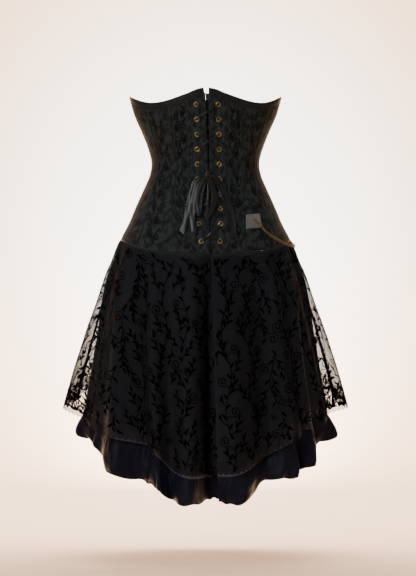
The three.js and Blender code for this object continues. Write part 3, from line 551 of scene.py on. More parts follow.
# %% Bow: tails and loops
BOW = {
    "bow_tail_left_outer": [
        (-3.9, -28.6, 11.9, 2.4), (-13, -34, 9.5, 3.5), (-22.5, -43, 8.2, 4.2), (-30, -62, 7.6, 4.6),
        (-34.5, -85, 7, 4.8), (-38.5, -112, 6, 5.6), (-44, -134, 5.4, 6.3), (-50.4, -152, 5, 6.3)],
    "bow_tail_left_inner": [
        (-2.2, -31.1, 13, 2.4), (-10, -39, 11.8, 3.6), (-19, -52, 10.6, 4.6), (-24.5, -72, 10.2, 5.2),
        (-26, -95, 9.8, 5.6), (-26.5, -118, 9.2, 6), (-25, -136, 8.6, 6.2), (-23, -152, 8, 6.2)],
    "bow_tail_right_outer": [
        (10.5, -28.4, 12.3, 2.4), (20, -33, 10.5, 3.6), (30, -43, 9.8, 4.4), (38, -60, 9.2, 5),
        (46, -82, 8.6, 5.4), (53.5, -106, 7.8, 5.8), (58, -130, 6.8, 6.3), (58.5, -152, 6, 6.3)],
    "bow_tail_right_inner": [
        (8, -31.6, 11, 1.8), (16, -41.5, 7.8, 2.6), (27, -54, 7, 2.8), (35, -72, 6.6, 3),
        (42, -92, 6.2, 3.2), (46, -110, 5.6, 3.4), (44.5, -126, 5.2, 3.4)],
    "bow_loop_left": [
        (-0.6, -32.8, 15.2, 2.4), (-8, -44, 15.6, 4.6), (-14.5, -60, 15, 6), (-18, -80, 14.6, 6.2),
        (-18.5, -98, 14.4, 5.6), (-16, -110, 14.2, 4.6), (-13.2, -114.5, 12.8, 3.6),
        (-11, -108, 11.7, 3), (-9, -90, 11.8, 2.6), (-5.4, -64, 12, 2.4), (-1.2, -46, 12, 2.4),
        (1.4, -33, 12.2, 2.2)],
    "bow_loop_right": [
        (6.4, -32.6, 15.2, 2.4), (11.5, -46, 15.6, 4.6), (16.5, -62, 15, 6), (17.6, -80, 14.6, 6.2),
        (14, -98, 14.2, 5.6), (8, -112, 13.4, 4.4), (4.5, -119.5, 12, 3.4), (3.4, -113, 10.6, 2.8),
        (4.6, -92, 10.8, 2.6), (6, -64, 11.4, 2.4), (5.6, -46, 11.6, 2.4), (4.9, -33, 12, 2.2)],
}
BOW_STEPS = 8

for name, route in BOW.items():
    route = np.array(route)
    stops = on_figure(back_angle(route[:, 0], route[:, 1]), route[:, 1], route[:, 2])
    line = curve_through(stops, BOW_STEPS)
    halves = spread_evenly(route[:, 3], len(line))
    is_loop = "loop" in name
    ribbon = make_ribbon(f"{name}_satin", line, halves, across_back(line), 0.9,
                         0.5 if is_loop else 0.8, 0 if is_loop else 2.5)
    length = line_length(line) * MM
    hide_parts(name)
    print(f"{name}: {length * 1000:.0f} mm")

# %% Bow: the knot
KNOT = {"x": 3.3, "z": -25.0, "out": 13.5, "wide": 8.5, "deep": 6.0, "high": 7.5}


def make_knot():
    rows, columns = 25, 40
    rise = np.linspace(-1, 1, rows)[:, None] * np.pi / 2
    turn = whole_turn(columns)[None, :]
    tuck = 1 - 0.10 * np.abs(np.sin(2.0 * turn + 1.1 * np.sin(rise))) - 0.07 * np.cos(6 * rise + turn)
    x = KNOT["wide"] * np.cos(rise) * np.cos(turn) * tuck
    y = KNOT["deep"] * np.cos(rise) * np.sin(turn) * tuck
    z = KNOT["high"] * np.sin(rise) * tuck + 1.0 * np.sin(turn)
    centre = on_figure(back_angle(KNOT["x"], KNOT["z"]), KNOT["z"], KNOT["out"])
    points = joined(x, y, z).reshape(-1, 3) + centre
    faces = tube_faces(rows, columns, closed_ends=False)
    knot = make_piece("bow_knot_satin", points, faces, joined(turn * 8, rise * 8), [RIBBON_SATIN])
    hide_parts("bow_knot")


make_knot()

# %% [markdown]
# ## The corset's panels
# Five panels a side are cut so that their seams carry the shape, and flat bones run in channels
# beside the seams. A panel is a grid between its two seams: its own measure across in
# millimetres, and its share of the height down. The channels stand proud of it with soft edges.

# %% Panels: places on the corset
SEAM_GAP = 0.3
CORSET_THICK = 2.0
PANEL_NAMES = ["centre_back", "back_side", "side", "front_side", "centre_front"]
SEAM_NAMES = ["first", "second", "third", "fourth", "last"]
SIDES = {"left": -1, "right": 1}
LACED_BONES = ((0.2, 11.6), (30.8, 41.6))
SEAM_BONE = ((0.2, 6.3),)
BONE_HEIGHT, BONE_EDGE, BONE_STITCH = 0.95, 1.2, 0.9
HOLE_RADIUS, HOLE_SIDES, HOLE_REACH = 3.2, 24, 6
CORSET_ROWS = 96
FINE_COLUMNS = {True: [0, 0.6, 1.4, 4, 8, 10.8, 11.4, 12, 13, 17, 20, 23.5, 27, 29.5, 30.5, 31.2, 31.9,
                       35, 38, 41, 41.7, 42.4],
                False: [0, 0.5, 1.2, 2.6, 4.2, 5.4, 6.0, 6.7, 7.6]}


def seam_angle(panel, z):
    return smooth(SEAMS["z"], SEAMS[SEAM_NAMES[panel]], z)


def panel_angle(panel, mm, share, z):
    half = smooth(FIGURE["z"], FIGURE["half"], z)
    depth = smooth(FIGURE["z"], FIGURE["back"], z)
    gap_half = smooth(CENTRE_BACK["z"], CENTRE_BACK["gap"], z)
    begin = back_angle(gap_half, z) if panel == 0 else seam_angle(panel - 1, z)
    turn = np.radians(begin)
    per_degree = np.radians(np.hypot(half * np.cos(turn), depth * np.sin(turn)))
    gap = SEAM_GAP / 2 / per_degree
    at_mm = begin + (0 if panel == 0 else gap) + mm / per_degree
    return at_mm + (seam_angle(panel, z) - gap - at_mm) * share


def corset_edges(angle):
    return (smooth(CORSET_EDGES["angle"], CORSET_EDGES["bottom"], angle),
            smooth(CORSET_EDGES["angle"], CORSET_EDGES["top"], angle))


def panel_places(panel, way, mm, share, height):
    angle = panel_angle(panel, mm, share, 0.0) + 0 * height
    for _ in range(5):
        bottom, top = corset_edges(angle)
        z = bottom + (top - bottom) * height
        angle = panel_angle(panel, mm, share, z)
    return way * angle + lean(angle, z), z


print("panels:", 2 * len(PANEL_NAMES))

# %% [markdown]
# Worn cloth is never quite smooth. Short soft creases gather at the waist and over the hips,
# and the cloth between two bones ripples a little. The creases are listed one by one: where, how long
# and how wide, how high, and how they slant.

# %% Panels: creases and ripples
CREASES = table("angle z long wide high slant", [
    (-35, -8, 16, 4.5, 0.9, 0.5), (-44, -22, 13, 5, -0.8, 0.3), (-52, 6, 12, 4, 0.7, -0.3),
    (-30, -120, 17, 3, -0.7, 0.15), (-33, -105, 14, 5, 0.5, 0.2), (-62, -60, 12, 6, 0.7, 0.4),
    (-18, -70, 10, 5, 0.5, -0.4), (-75, -18, 12, 5, 0.8, -0.2), (-48, 60, 10, 7, 0.5, 0.5),
    (36, -6, 15, 4.5, 0.8, -0.4), (46, -24, 13, 5, -0.8, -0.3), (54, 8, 12, 4, 0.6, 0.4),
    (60, -58, 13, 6, 0.7, -0.4), (20, -80, 9, 5, 0.5, 0.3), (76, -14, 12, 5, 0.8, 0.3),
    (44, 64, 10, 7, 0.5, -0.4), (38, -148, 12, 4, 0.5, -0.2), (-66, -130, 12, 6, 0.5, 0.3),
    (112, -6, 16, 5, 0.8, 0.3), (-114, -10, 15, 5, 0.8, -0.3), (142, 4, 15, 5, 0.7, -0.2),
    (-146, -4, 14, 5, 0.7, 0.3), (128, -52, 14, 6, 0.6, 0.4), (-130, -48, 13, 6, 0.6, -0.4),
])


def crease_height(angle, z):
    high = 0 * angle
    for a, z0, long, wide, rise, slant in zip(*CREASES.values()):
        off = z - z0 - slant * (angle - a)
        high = high + rise * np.exp(-(off / wide) ** 2 - ((angle - a) / long) ** 2)
    ripple = np.sin(z * 0.21 + 2.1 * np.sin(angle * 0.13)) * np.sin(angle * 0.42 + z * 0.017)
    return 0.95 * high + 0.2 * ripple


def bone_height(mm, bones):
    high = 0 * mm
    for low, top in bones:
        high = high + ease(mm, low, low + BONE_EDGE) * (1 - ease(mm, top - BONE_EDGE, top))
        for stitch in (low + BONE_STITCH, top - BONE_STITCH):
            high = high - 0.22 * np.exp(-((mm - stitch) / 0.35) ** 2)
    return BONE_HEIGHT * high


# %% Panels: the shells
def panel_columns(panel):
    fine = np.array(FINE_COLUMNS[panel == 0], dtype=float)
    rest = np.linspace(0, 1, 14)[1:]
    mm = np.concatenate([fine, np.full(len(rest), fine[-1])])
    share = np.concatenate([np.zeros(len(fine)), rest])
    return mm, share


def panel_surface(panel, way, mm, share, height, thick):
    angle, z = panel_places(panel, way, mm, share, height)
    edge = ease(height, 0, 0.03) * (1 - ease(height, 0.96, 0.995))
    bones = LACED_BONES if panel == 0 else SEAM_BONE
    raised = bone_height(np.where(share > 0, 1e3, mm), bones)
    seam_dip = 0.35 * np.exp(-((1 - share) / 0.02) ** 2) if panel < 4 else 0
    out = thick + (raised + crease_height(angle, z) * ease(mm + 60 * share, 1, 9) - seam_dip) * edge
    return on_figure(angle, z, out), angle, z


def spokes(normal, turns):
    side = unit(np.cross(normal, (0, 0, 1.0)))
    turn = whole_turn(turns)[:, None]
    return np.cos(turn) * side + np.sin(turn) * np.cross(side, normal)


def punch(piece, places):
    cutter_mesh = bpy.data.meshes.new("drill")
    points, faces, n = [], [], HOLE_SIDES
    for place, normal in places:
        start = len(points)
        for depth in (-HOLE_REACH, HOLE_REACH):
            points += list(place + depth * normal + HOLE_RADIUS * spokes(normal, n))
        faces += [[start + i, start + (i + 1) % n, start + n + (i + 1) % n, start + n + i]
                  for i in range(n)]
        faces += [list(range(start + n - 1, start - 1, -1)), list(range(start + n, start + 2 * n))]
    cutter_mesh.from_pydata((np.array(points) * MM).tolist(), [], faces)
    cutter = bpy.data.objects.new("drill", cutter_mesh)
    bpy.context.scene.collection.objects.link(cutter)
    cut = piece.modifiers.new("cut", "BOOLEAN")
    cut.operation, cut.solver, cut.object = "DIFFERENCE", "EXACT", cutter
    graph = bpy.context.evaluated_depsgraph_get()
    result = bpy.data.meshes.new_from_object(piece.evaluated_get(graph))
    piece.modifiers.clear()
    piece.data = result
    bpy.data.objects.remove(cutter)
    result.set_sharp_from_angle(angle=math.radians(SHARP_ANGLE))


# %% [markdown]
# ## Eyelets
# Ten rolled bronze eyelets stand on each side of the gap, and the lacing goes through them. The
# cloth is cut open behind each. Their places come from the solids, so both agree.

# %% Eyelets: places and rolled rims
EYELETS = 10
EYELET_SINK, GROMMET_SINK = -0.45, 0.85


def node_place(node, sink):
    low, high = (np.array(corner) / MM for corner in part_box(node))
    centre = (low + high) / 2
    size = sizes(FIGURE, centre[2])
    depth = size["back"] if centre[1] < 0 else size["front"]
    angle = math.degrees(math.atan2(centre[0] / size["half"], -centre[1] / depth))
    here = on_figure(angle, centre[2], 0.0)
    step = 0.5
    across = on_figure(angle + step, centre[2], 0.0) - on_figure(angle - step, centre[2], 0.0)
    up = on_figure(angle, centre[2] + step, 0.0) - on_figure(angle, centre[2] - step, 0.0)
    normal = unit(np.cross(across, up))
    if normal @ np.array([here[0], here[1], 0]) < 0:
        normal = -normal
    return centre - sink * normal, normal


eyelet_places = {
    name: [node_place(f"eyelet_{name}_{i + 1}", EYELET_SINK) for i in range(EYELETS)]
    for name in SIDES}

EYELET_RIM = [(2.45, -2.4), (2.4, 0.3), (2.55, 0.95), (3.0, 1.4), (3.7, 1.55), (4.6, 1.35), (5.4, 0.9),
              (5.85, 0.4), (5.8, 0.22), (4.6, 0.25), (2.95, 0.2), (2.9, -2.4)]
GROMMET_RIM = [(1.7, 0.3), (1.75, 0.9), (2.1, 1.3), (2.9, 1.45), (3.8, 1.2), (4.5, 0.7), (4.75, 0.32),
               (3.2, 0.28)]


def turned(rim, places, turns=36):
    rim, rings = np.array(rim), []
    for place, normal in places:
        ring = place + spokes(normal, turns)[:, None] * rim[None, :, :1] + normal * rim[None, :, 1:]
        rings.append((ring.reshape(-1, 3), ring_faces(turns, len(rim))))
    return merged(rings)


for name in SIDES:
    points, faces = turned(EYELET_RIM, eyelet_places[name])
    eyelets = make_piece(f"eyelets_{name}", points, faces, points[:, [0, 2]], [BRONZE])
    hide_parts(*[f"eyelet_{name}_{i + 1}" for i in range(EYELETS)])
print("eyelets:", 2 * EYELETS)

# %% Panels: build all ten
EDGE_ROWS = [0.008, 0.02, 0.975, 0.99]
for name, way in SIDES.items():
    for panel, title in enumerate(PANEL_NAMES):
        mm, share = panel_columns(panel)
        height = np.unique(np.concatenate([np.linspace(0, 1, CORSET_ROWS), EDGE_ROWS]))[::-1, None]
        outer, angle, z = panel_surface(
            panel, way, mm[None, :], share[None, :], height, CORSET_THICK)
        inner = on_figure(angle, z, 0.0)
        across = mm + share * 40 + 100 * panel * way
        shell = make_wall(f"brocade_{title}_{name}", outer, inner, across[None, :], z, BROCADE, LINING)
        if panel == 0:
            punch(shell, eyelet_places[name])
        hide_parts(f"corset_{title}_{name}")
        declare_cloth(shell, outer)

# %% [markdown]
# ## Binding, piping and the strip behind the gap
# A satin binding is folded over the top edge, a thin piping closes the bottom edge, and a loose
# satin strip hangs behind the lacing and closes the gap between the two halves.

# %% Lines round a half of the corset
LINE_STEPS = 34
LINE_PITCH = 2.4
HANG_GAP = 0.3


def half_line(way, height):
    share = np.linspace(0, 1, LINE_STEPS)
    runs = [np.array(panel_places(panel, way, 0 * share, share, np.full(LINE_STEPS, height)))
            for panel in range(len(PANEL_NAMES))]
    return np.concatenate([run[:, :-1] for run in runs] + [runs[-1][:, -1:]], axis=1)


BINDING_PROFILE = [(-1.1, -15), (-0.75, -14.6), (-0.7, -3), (-0.5, 0.4), (0.2, 0.95), (1.0, 1.25),
                   (1.8, 0.95), (2.6, 0.4), (3.0, -1.5), (3.05, -8), (3.0, -13.4), (2.75, -14.3),
                   (3.15, -15), (2.35, -15.1), (2.35, -1), (1.0, 0.35), (-0.35, -1), (-0.35, -15.1)]


def ring_along(angle, z, profile, top_lift):
    out = np.array([p[0] for p in profile])[None, :]
    up = np.array([p[1] for p in profile])[None, :]
    return on_figure(angle[:, None], z[:, None] + top_lift + up, out)


def make_trim(name, rings, over):
    run = np.arange(len(rings))[:, None] * LINE_PITCH
    return make_piece(name, rings, tube_faces(*rings.shape[:2]), joined(run, over), [TRIM_SATIN])


# %% Top binding
for name, way in SIDES.items():
    angle, z = half_line(way, 1.0)
    rings = ring_along(angle, z, BINDING_PROFILE, HANG_GAP)
    binding = make_trim(f"binding_{name}", rings, np.arange(len(BINDING_PROFILE))[None, :] * 2.0)
    binding.data.set_sharp_from_angle(angle=math.radians(60))
    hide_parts(f"top_binding_{name}")
    length = line_length(on_figure(angle, z, 3.0)) * MM
    print(f"binding {name}: {length:.3f} m long")

# %% Bottom piping
PIPING = 1.6
for name, way in SIDES.items():
    angle, z = half_line(way, 0.0)
    turn = whole_turn(14)
    profile = [(1.0 + PIPING * math.cos(t), PIPING * math.sin(t)) for t in turn]
    rings = ring_along(angle, z, profile, -HANG_GAP - PIPING)
    piping = make_trim(f"piping_{name}", rings, turn[None, :] * PIPING)
    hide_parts(f"bottom_piping_{name}")

# %% Modesty strip
STRIP = table("mm deep", [(-44, 1), (-36, 1), (-29, 4.6), (0, 4.6), (29, 4.6), (38, 4.6)])
strip_low, strip_high = (float(corner[2] / MM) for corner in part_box("modesty_strip"))
mm = np.linspace(-44, 38, 42)[None, :]
z = np.linspace(strip_high, strip_low, 70)[:, None]
x = mm + centre_x(z)
sag = 0.35 * np.sin(z * 0.13) * np.cos(mm * 0.11)
deep = np.interp(mm, STRIP["mm"], STRIP["deep"]) + sag * (np.abs(mm) < 27)
outer = on_figure(back_angle(x, z), z, -deep)
inner = on_figure(back_angle(x, z), z, -deep - 1.2)
strip = make_wall("strip_satin", outer, inner, mm, z, TRIM_SATIN)
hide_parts("modesty_strip")
declare_cloth(strip, outer)

# %% [markdown]
# ## The lacing
# Two lengths of narrow satin ribbon cross at the centre back. Each comes out of one eyelet, lies
# over the cloth to the next row's eyelet on the other side, goes in, crosses behind, and so on.

# %% Lacing
LACE_STOPS = (0.27, 0.42, 0.58, 0.73)
LACE_HALF, LACE_IN_HOLE = 2.2, 1.2
LACE_BEHIND, LACE_FRONT = -3.5, 2.7
LACE_SPAN = math.hypot(47.0, 32.3)


def lacing_stops(first, second, higher):
    stops, halves = [], []
    sides = (first, second)
    for number in range(EYELETS):
        place, normal = eyelet_places[sides[number % 2]][number]
        over = number % 2 == 0
        for lift in ((LACE_BEHIND, LACE_FRONT) if over else (LACE_FRONT, LACE_BEHIND)):
            stops.append(place + normal * lift)
            halves.append(LACE_IN_HOLE)
        if number == EYELETS - 1:
            break
        after = eyelet_places[sides[(number + 1) % 2]][number + 1][0]
        z0, z1 = place[2], after[2]
        a0, a1 = back_angle(place[0], z0), back_angle(after[0], z1)
        base, end = (4.7, 5.2) if over else (-1.4, -1.4)
        level = base + higher if over else base - higher
        near = 3.0 / LACE_SPAN
        for share, out, half in [(near, end, LACE_IN_HOLE), (LACE_STOPS[0], base, LACE_HALF),
                                 (LACE_STOPS[1], level, LACE_HALF), (LACE_STOPS[2], level, LACE_HALF),
                                 (LACE_STOPS[3], base, LACE_HALF), (1 - near, end, LACE_IN_HOLE)]:
            angle, z = a0 + (a1 - a0) * share, z0 + (z1 - z0) * share
            stops.append(on_figure(angle, z, out))
            halves.append(half)
    return np.array(stops), np.array(halves)


for first, second, higher in (("left", "right", 0.0), ("right", "left", 1.8)):
    stops, widths = lacing_stops(first, second, higher)
    line = curve_through(stops, 5)
    halves = spread_evenly(widths, len(line))
    lacing = make_ribbon(f"lacing_satin_{first}", line, halves, up_back(line), 0.8, 0.15)
    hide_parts(f"lacing_from_{first}")
    print(f"lacing from the {first}: {line_length(line):.0f} mm")

# %% [markdown]
# ## The patch and its chain
# A small grey leather patch is sewn beside the lacing, with a grommet at its edge. A double
# bronze chain is fixed there and swings round the right hip to a grommet on the hidden front.

# %% Patch
PATCH_FROM, PATCH_TO = 7.3, 0.55
PATCH_LOW, PATCH_HIGH, PATCH_TILT = -143.2, -112.6, 3.2
PATCH_OUT, PATCH_THICK = 2.4, 2.0


def patch_point(across, up, out):
    z = PATCH_LOW + (PATCH_HIGH - PATCH_LOW) * up + PATCH_TILT * across
    angle = panel_angle(1, PATCH_FROM, PATCH_TO * across, z)
    return on_figure(angle + lean(angle, z), z, out)


def border(share, wide):
    return np.minimum(share, 1 - share) / wide


shares = np.unique(np.concatenate([np.linspace(0, 1, 28), [0.012, 0.03, 0.97, 0.988]]))
across, up = shares[None, :], shares[::-1, None]
edge = np.minimum(np.minimum(border(across, 0.03), border(up, 0.03)), 1)
groove = np.minimum(np.abs(border(across, 0.08) - 1), np.abs(border(up, 0.08) - 1))
pressed = 0.55 * (1 - edge) ** 2 + 0.12 * np.exp(-(groove / 0.2) ** 2)
outer = patch_point(across, up, PATCH_OUT + PATCH_THICK - pressed)
inner = patch_point(across, up, PATCH_OUT)
patch = make_wall("patch_leather", outer, inner, across * 32, up * 32, LEATHER)
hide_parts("patch")

# %% Grommets
GROMMETS = ("patch_grommet", "front_grommet")
for node in GROMMETS:
    points, faces = turned(GROMMET_RIM, [node_place(node, GROMMET_SINK)])
    grommet = make_piece(f"{node}_rim", points, faces, points[:, [0, 2]], [BRONZE])
    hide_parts(node)

# %% Chain
CHAIN_ROUTE = [
    (42.4, -134, 7.5), (46.4, -150, 6.4), (51.9, -161.5, 6.2), (58.9, -169.5, 6.4), (67, -176, 7),
    (78, -178.5, 8), (90, -178, 8.2), (101, -172, 7.6), (110, -160, 6.6)]
CHAIN_APART = 1.75
CHAIN_END_OUT = 3.2
LINK_PITCH, LINK_HALF_WIDE, LINK_WIRE = 2.7, 1.05, 0.42
LINK_STEPS, WIRE_SIDES = 14, 6


def chain_ends():
    for node in GROMMETS:
        place, normal = node_place(node, GROMMET_SINK)
        yield place + normal * CHAIN_END_OUT


def link_rings(centre, along, side):
    face = np.cross(along, side)
    turn = whole_turn(LINK_STEPS)[:, None]
    straight = LINK_PITCH * 0.72 - LINK_HALF_WIDE
    middle = centre + along * (LINK_HALF_WIDE * np.cos(turn) + straight * np.sign(np.cos(turn)))
    middle = middle + side * LINK_HALF_WIDE * np.sin(turn)
    spoke = along * np.cos(turn) + side * np.sin(turn)
    wire = whole_turn(WIRE_SIDES)[None, :, None]
    return middle[:, None] + LINK_WIRE * (np.cos(wire) * spoke[:, None] + np.sin(wire) * face)


start, end = chain_ends()
route = np.array([start] + [on_figure(a, z, out) for a, z, out in CHAIN_ROUTE] + [end])
middle = curve_through(route, 30)
along = np.gradient(middle, axis=0)
sideways = unit(np.cross(middle * (1, 1, 0), along))
for title, way in (("upper", 1), ("lower", -1)):
    strand = middle + way * CHAIN_APART * sideways
    run = run_along(strand)
    places = np.arange(LINK_PITCH / 2, run[-1], LINK_PITCH)
    links = []
    for i, at in enumerate(places):
        centre = point_at(at, run, strand)
        ahead = unit(point_at(at + 0.5, run, strand) - centre)
        side = unit(np.cross(ahead, centre * (1, 1, 0)))
        rings = link_rings(centre, ahead, side if i % 2 else np.cross(ahead, side))
        links.append((rings.reshape(-1, 3), ring_faces(LINK_STEPS, WIRE_SIDES)))
    points, faces = merged(links)
    chain = make_piece(f"chain_links_{title}", points, faces, points[:, [0, 2]], [BRONZE])
    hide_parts(f"chain_{title}")
    print(f"chain {title}: {len(places)} links, {run[-1]:.0f} mm")

# %% [markdown]
# ## The skirt's folds
# A satin skirt that is wider at its hem than at its waist falls in deep soft folds. They are
# listed, one row for each ridge or valley from the centre back round to the front: where it
# leaves the corset, where it ends, how far it stands out, and how long the cloth is there. The
# net overlay and the lace follow the same folds, so the layers never cross.

# %% Folds: tables
FOLD_COLUMNS = "top hem out seam ruffle lace"
FOLDS = {
    "left": table(FOLD_COLUMNS, [
        (3.05, 9, -1.8, -670, -716, -714), (0.6, 1.8, -2.1, -672, -718, -669),
        (-7, -6.6, 1, -670, -726, -667), (-22, -16.5, -0.7, -655, -716, -652),
        (-33, -22.5, 0.7, -622, -690, -618), (-46, -29.5, -1.1, -606, -682, -602),
        (-59, -46, 1, -590, -664, -584), (-72, -66, -0.8, -568, -616, -558),
        (-84, -82, 0.8, -546, -594, -534), (-97, -97, -0.8, -533, -586, -520),
        (-109, -110, 0.9, -522, -580, -510), (-121, -123, -0.9, -510, -572, -502),
        (-133, -135, 0.8, -498, -562, -492), (-145, -147, -0.9, -488, -554, -484),
        (-157, -158, 0.9, -480, -547, -476), (-169, -169, -0.8, -475, -542, -471),
        (-180, -180, 0.6, -472, -540, -468),
    ]),
    "right": table(FOLD_COLUMNS, [
        (3.7, 5.4, 0.55, -666, -718, -663), (14.5, 15, 1, -662, -723, -659),
        (32, 29.5, -1.1, -632, -680, -628), (42, 41, 0.8, -602, -675, -597),
        (50, 49, -0.5, -582, -666, -576), (59, 57, 0.8, -570, -646, -561),
        (72, 70, -0.9, -556, -618, -545), (84, 83, 0.8, -546, -598, -532),
        (96, 96, -0.8, -533, -587, -520), (108, 109, 0.9, -522, -580, -511),
        (120, 122, -0.9, -510, -572, -501), (133, 135, 0.8, -498, -562, -492),
        (145, 147, -0.9, -488, -554, -484), (157, 158, 0.8, -480, -547, -476),
        (169, 169, -0.9, -475, -542, -471), (180, 180, 0.6, -472, -540, -468),
    ]),
}
SIDE_SEAM = {"left": 8.5, "right": 7.5}
RUFFLE_FROM = {"left": 0.25, "right": 0}
RUFFLE_TUCK = {"left": (1, 1.8), "right": (-1, 0)}
SKIRT = table("z half back front", [
    (-700, 268, 205, 188), (-600, 260, 195, 180), (-543, 253, 187, 172), (-502, 247, 181, 167),
    (-440, 237.6, 172, 161), (-409, 233.4, 167, 156), (-354, 225.6, 158, 150), (-299, 220, 150, 143),
    (-246, 210, 140, 134), (-172, 190, 123, 120),
])
NET_FLARE = table("z out", [
    (-560, 49), (-502, 43.5), (-440, 36.5), (-407, 31), (-354, 22.5), (-301, 10), (-249, 4),
    (-200, 1.5), (-172, 0),
])
FOLD_DEPTH = 18.0
FOLD_GROWTH = 0.6
SPREAD_BY = 0.2
SMALL_SHIFT = {"left": 0.0, "right": 0.22}
BELOW_CORSET = 3.8
SEWN_IN = 2.0
print("ridges and valleys:", [len(rows["top"]) for rows in FOLDS.values()])

# %% [markdown]
# Between the main folds lie smaller ones: gathers that start at the corset's edge and die out,
# and short flutes that rise from the hem. Each is a soft trough or ridge with its own place,
# width, reach and height, and they are set as unevenly as hands would leave them.

# %% Folds: the smaller ones
SMALL_FOLDS = table("s wide start end rise slant", [
    (0.45, 0.16, 0.0, 0.42, 1.6, 0.1), (1.25, 0.14, 0.35, 1.15, 1.8, 0.1),
    (1.7, 0.18, 0.0, 0.55, -1.6, -0.1),
    (2.45, 0.15, 0.0, 0.36, 1.5, 0.2), (2.6, 0.17, 0.5, 1.2, -2.0, 0.1), (3.3, 0.16, 0.1, 0.6, 1.7, -0.2),
    (3.6, 0.13, 0.55, 1.2, 1.9, 0.1), (4.4, 0.17, 0.0, 0.5, -1.7, 0.1), (4.75, 0.14, 0.4, 1.1, 1.6, -0.1),
    (5.3, 0.15, 0.05, 0.5, 1.8, 0.1), (5.55, 0.14, 0.6, 1.2, -1.8, 0.0), (6.35, 0.16, 0.0, 0.45, 1.5, 0.1),
    (6.7, 0.15, 0.5, 1.2, 1.9, -0.1), (7.5, 0.17, 0.1, 0.7, -1.6, 0.1), (8.3, 0.15, 0.0, 0.5, 1.5, 0.1),
    (8.8, 0.16, 0.55, 1.2, 1.8, 0.0), (9.4, 0.15, 0.0, 0.6, -1.5, 0.1), (10.5, 0.17, 0.2, 0.9, 1.7, -0.1),
    (11.4, 0.15, 0.0, 0.4, 1.4, 0.1), (11.8, 0.15, 0.6, 1.2, -1.8, 0.1), (12.6, 0.16, 0.1, 0.8, 1.6, 0.0),
    (13.5, 0.15, 0.0, 0.5, -1.5, 0.1), (14.4, 0.16, 0.4, 1.2, 1.7, -0.1), (15.3, 0.15, 0.0, 0.6, 1.4, 0.1),
])


def small_folds(s, down, shift):
    out = 0 * s * down
    for place, wide, start, end, rise, slant in zip(*SMALL_FOLDS.values()):
        reach = ease(down, start - 0.12, start + 0.12) * (1 - ease(down, end - 0.25, end + 0.05))
        reach = reach if start > 0 else ease(down, 0.0, 0.06) * (1 - ease(down, end - 0.3, end))
        out = out + rise * reach * np.exp(-((s - place - shift - slant * down) / wide) ** 2)
    return out


# %% Folds: a point of the satin and of the net
def fold(rows, column, s):
    return smooth(np.arange(len(rows["top"]), dtype=float), rows[column], s)


def skirt_top(angle):
    turned = np.abs(angle - lean(angle, -200.0))
    return smooth(CORSET_EDGES["angle"], CORSET_EDGES["bottom"], turned) - BELOW_CORSET


def skirt_point(rows, s, z, extra=0.0):
    top = skirt_top(fold(rows, "top", s))
    down = np.maximum((z - top) / (fold(rows, "seam", s) - top), 0)
    angle = fold(rows, "top", s) + (fold(rows, "hem", s) - fold(rows, "top", s)) * down
    body, wide = sizes(FIGURE, z), sizes(SKIRT, z)
    spread = ease(down, 0, SPREAD_BY)
    size = {key: body[key] + (wide[key] - body[key]) * spread for key in body}
    shift = SMALL_SHIFT["left" if rows is FOLDS["left"] else "right"]
    out = FOLD_DEPTH * down ** FOLD_GROWTH * fold(rows, "out", s) + small_folds(s, down, shift)
    return outline(size, angle, z, out + extra)


def outward(surface, s, w):
    along = surface(s + 0.01, w) - surface(s - 0.01, w)
    normal = unit(joined(along[..., 1], -along[..., 0], 0 * along[..., 0]))
    place = surface(s, w)
    inward = (normal[..., :2] * place[..., :2]).sum(axis=-1, keepdims=True) < 0
    return np.where(inward, -normal, normal)


def satin_point(rows, s, w):
    top = skirt_top(fold(rows, "top", s)) + SEWN_IN
    return skirt_point(rows, s, top + (fold(rows, "seam", s) - top) * w)


def net_point(rows, s, z, off):
    out = outward(lambda a, b: skirt_point(rows, a, b), s, z)
    flare = smooth(NET_FLARE["z"], NET_FLARE["out"], z) * np.sin(np.radians(fold(rows, "hem", s))) ** 2
    return skirt_point(rows, s, z, flare) + out * off


def measured(grid):
    across = np.linalg.norm(np.diff(grid, axis=1), axis=-1).mean(axis=0)
    down = np.linalg.norm(np.diff(grid, axis=0), axis=-1).mean(axis=1)
    return (np.concatenate([[0], np.cumsum(across)])[None, :],
            np.concatenate([[0], np.cumsum(down)])[:, None])


# %% [markdown]
# ## The satin skirt and its ruffle
# The satin is one wall a quarter, with a seam at each side and at the back and front centres.
# The ruffle is a wider strip gathered onto its hem: tight gathers at the seam open into waves,
# and its own hem is turned up and stitched.

# %% Satin: four quarters
SATIN_WALL = 1.4
SEAM_INSET = 0.0045
SATIN_UNDER_RIGHT = np.array([2.4, 1.9, 0.0])
NET_UNDER_RIGHT = np.array([1.8, 0.6, 0.0])


def tucked_under(grid, way):
    return np.concatenate([grid[:, :1] + way, grid], axis=1)


def satin_walls(surface, s, w):
    inner = surface(s, w)
    return inner + outward(surface, s, w) * SATIN_WALL, inner


def steps(begin, end, per_fold):
    count = int(round((end - begin) * per_fold)) + 1
    places = np.linspace(begin, end, count)
    places[0] += SEAM_INSET
    places[-1] -= SEAM_INSET
    return places[None, :]


for name, rows in FOLDS.items():
    last = len(rows["top"]) - 1
    for half, begin, end in (("back", 0, SIDE_SEAM[name]), ("front", SIDE_SEAM[name], last)):
        s, w = steps(begin, end, 16), np.linspace(0, 1, 72)[:, None] ** 1.15
        walls = satin_walls(lambda a, b: satin_point(rows, a, b), s, w)
        if (half, name) == ("back", "left"):
            walls = [tucked_under(grid, SATIN_UNDER_RIGHT) for grid in walls]
        outer, inner = walls
        across, down = measured(outer)
        quarter = make_wall(f"satin_{half}_{name}", outer, inner, across, down, SATIN)
        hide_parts(f"skirt_{half}_{name}")
        declare_cloth(quarter, outer)

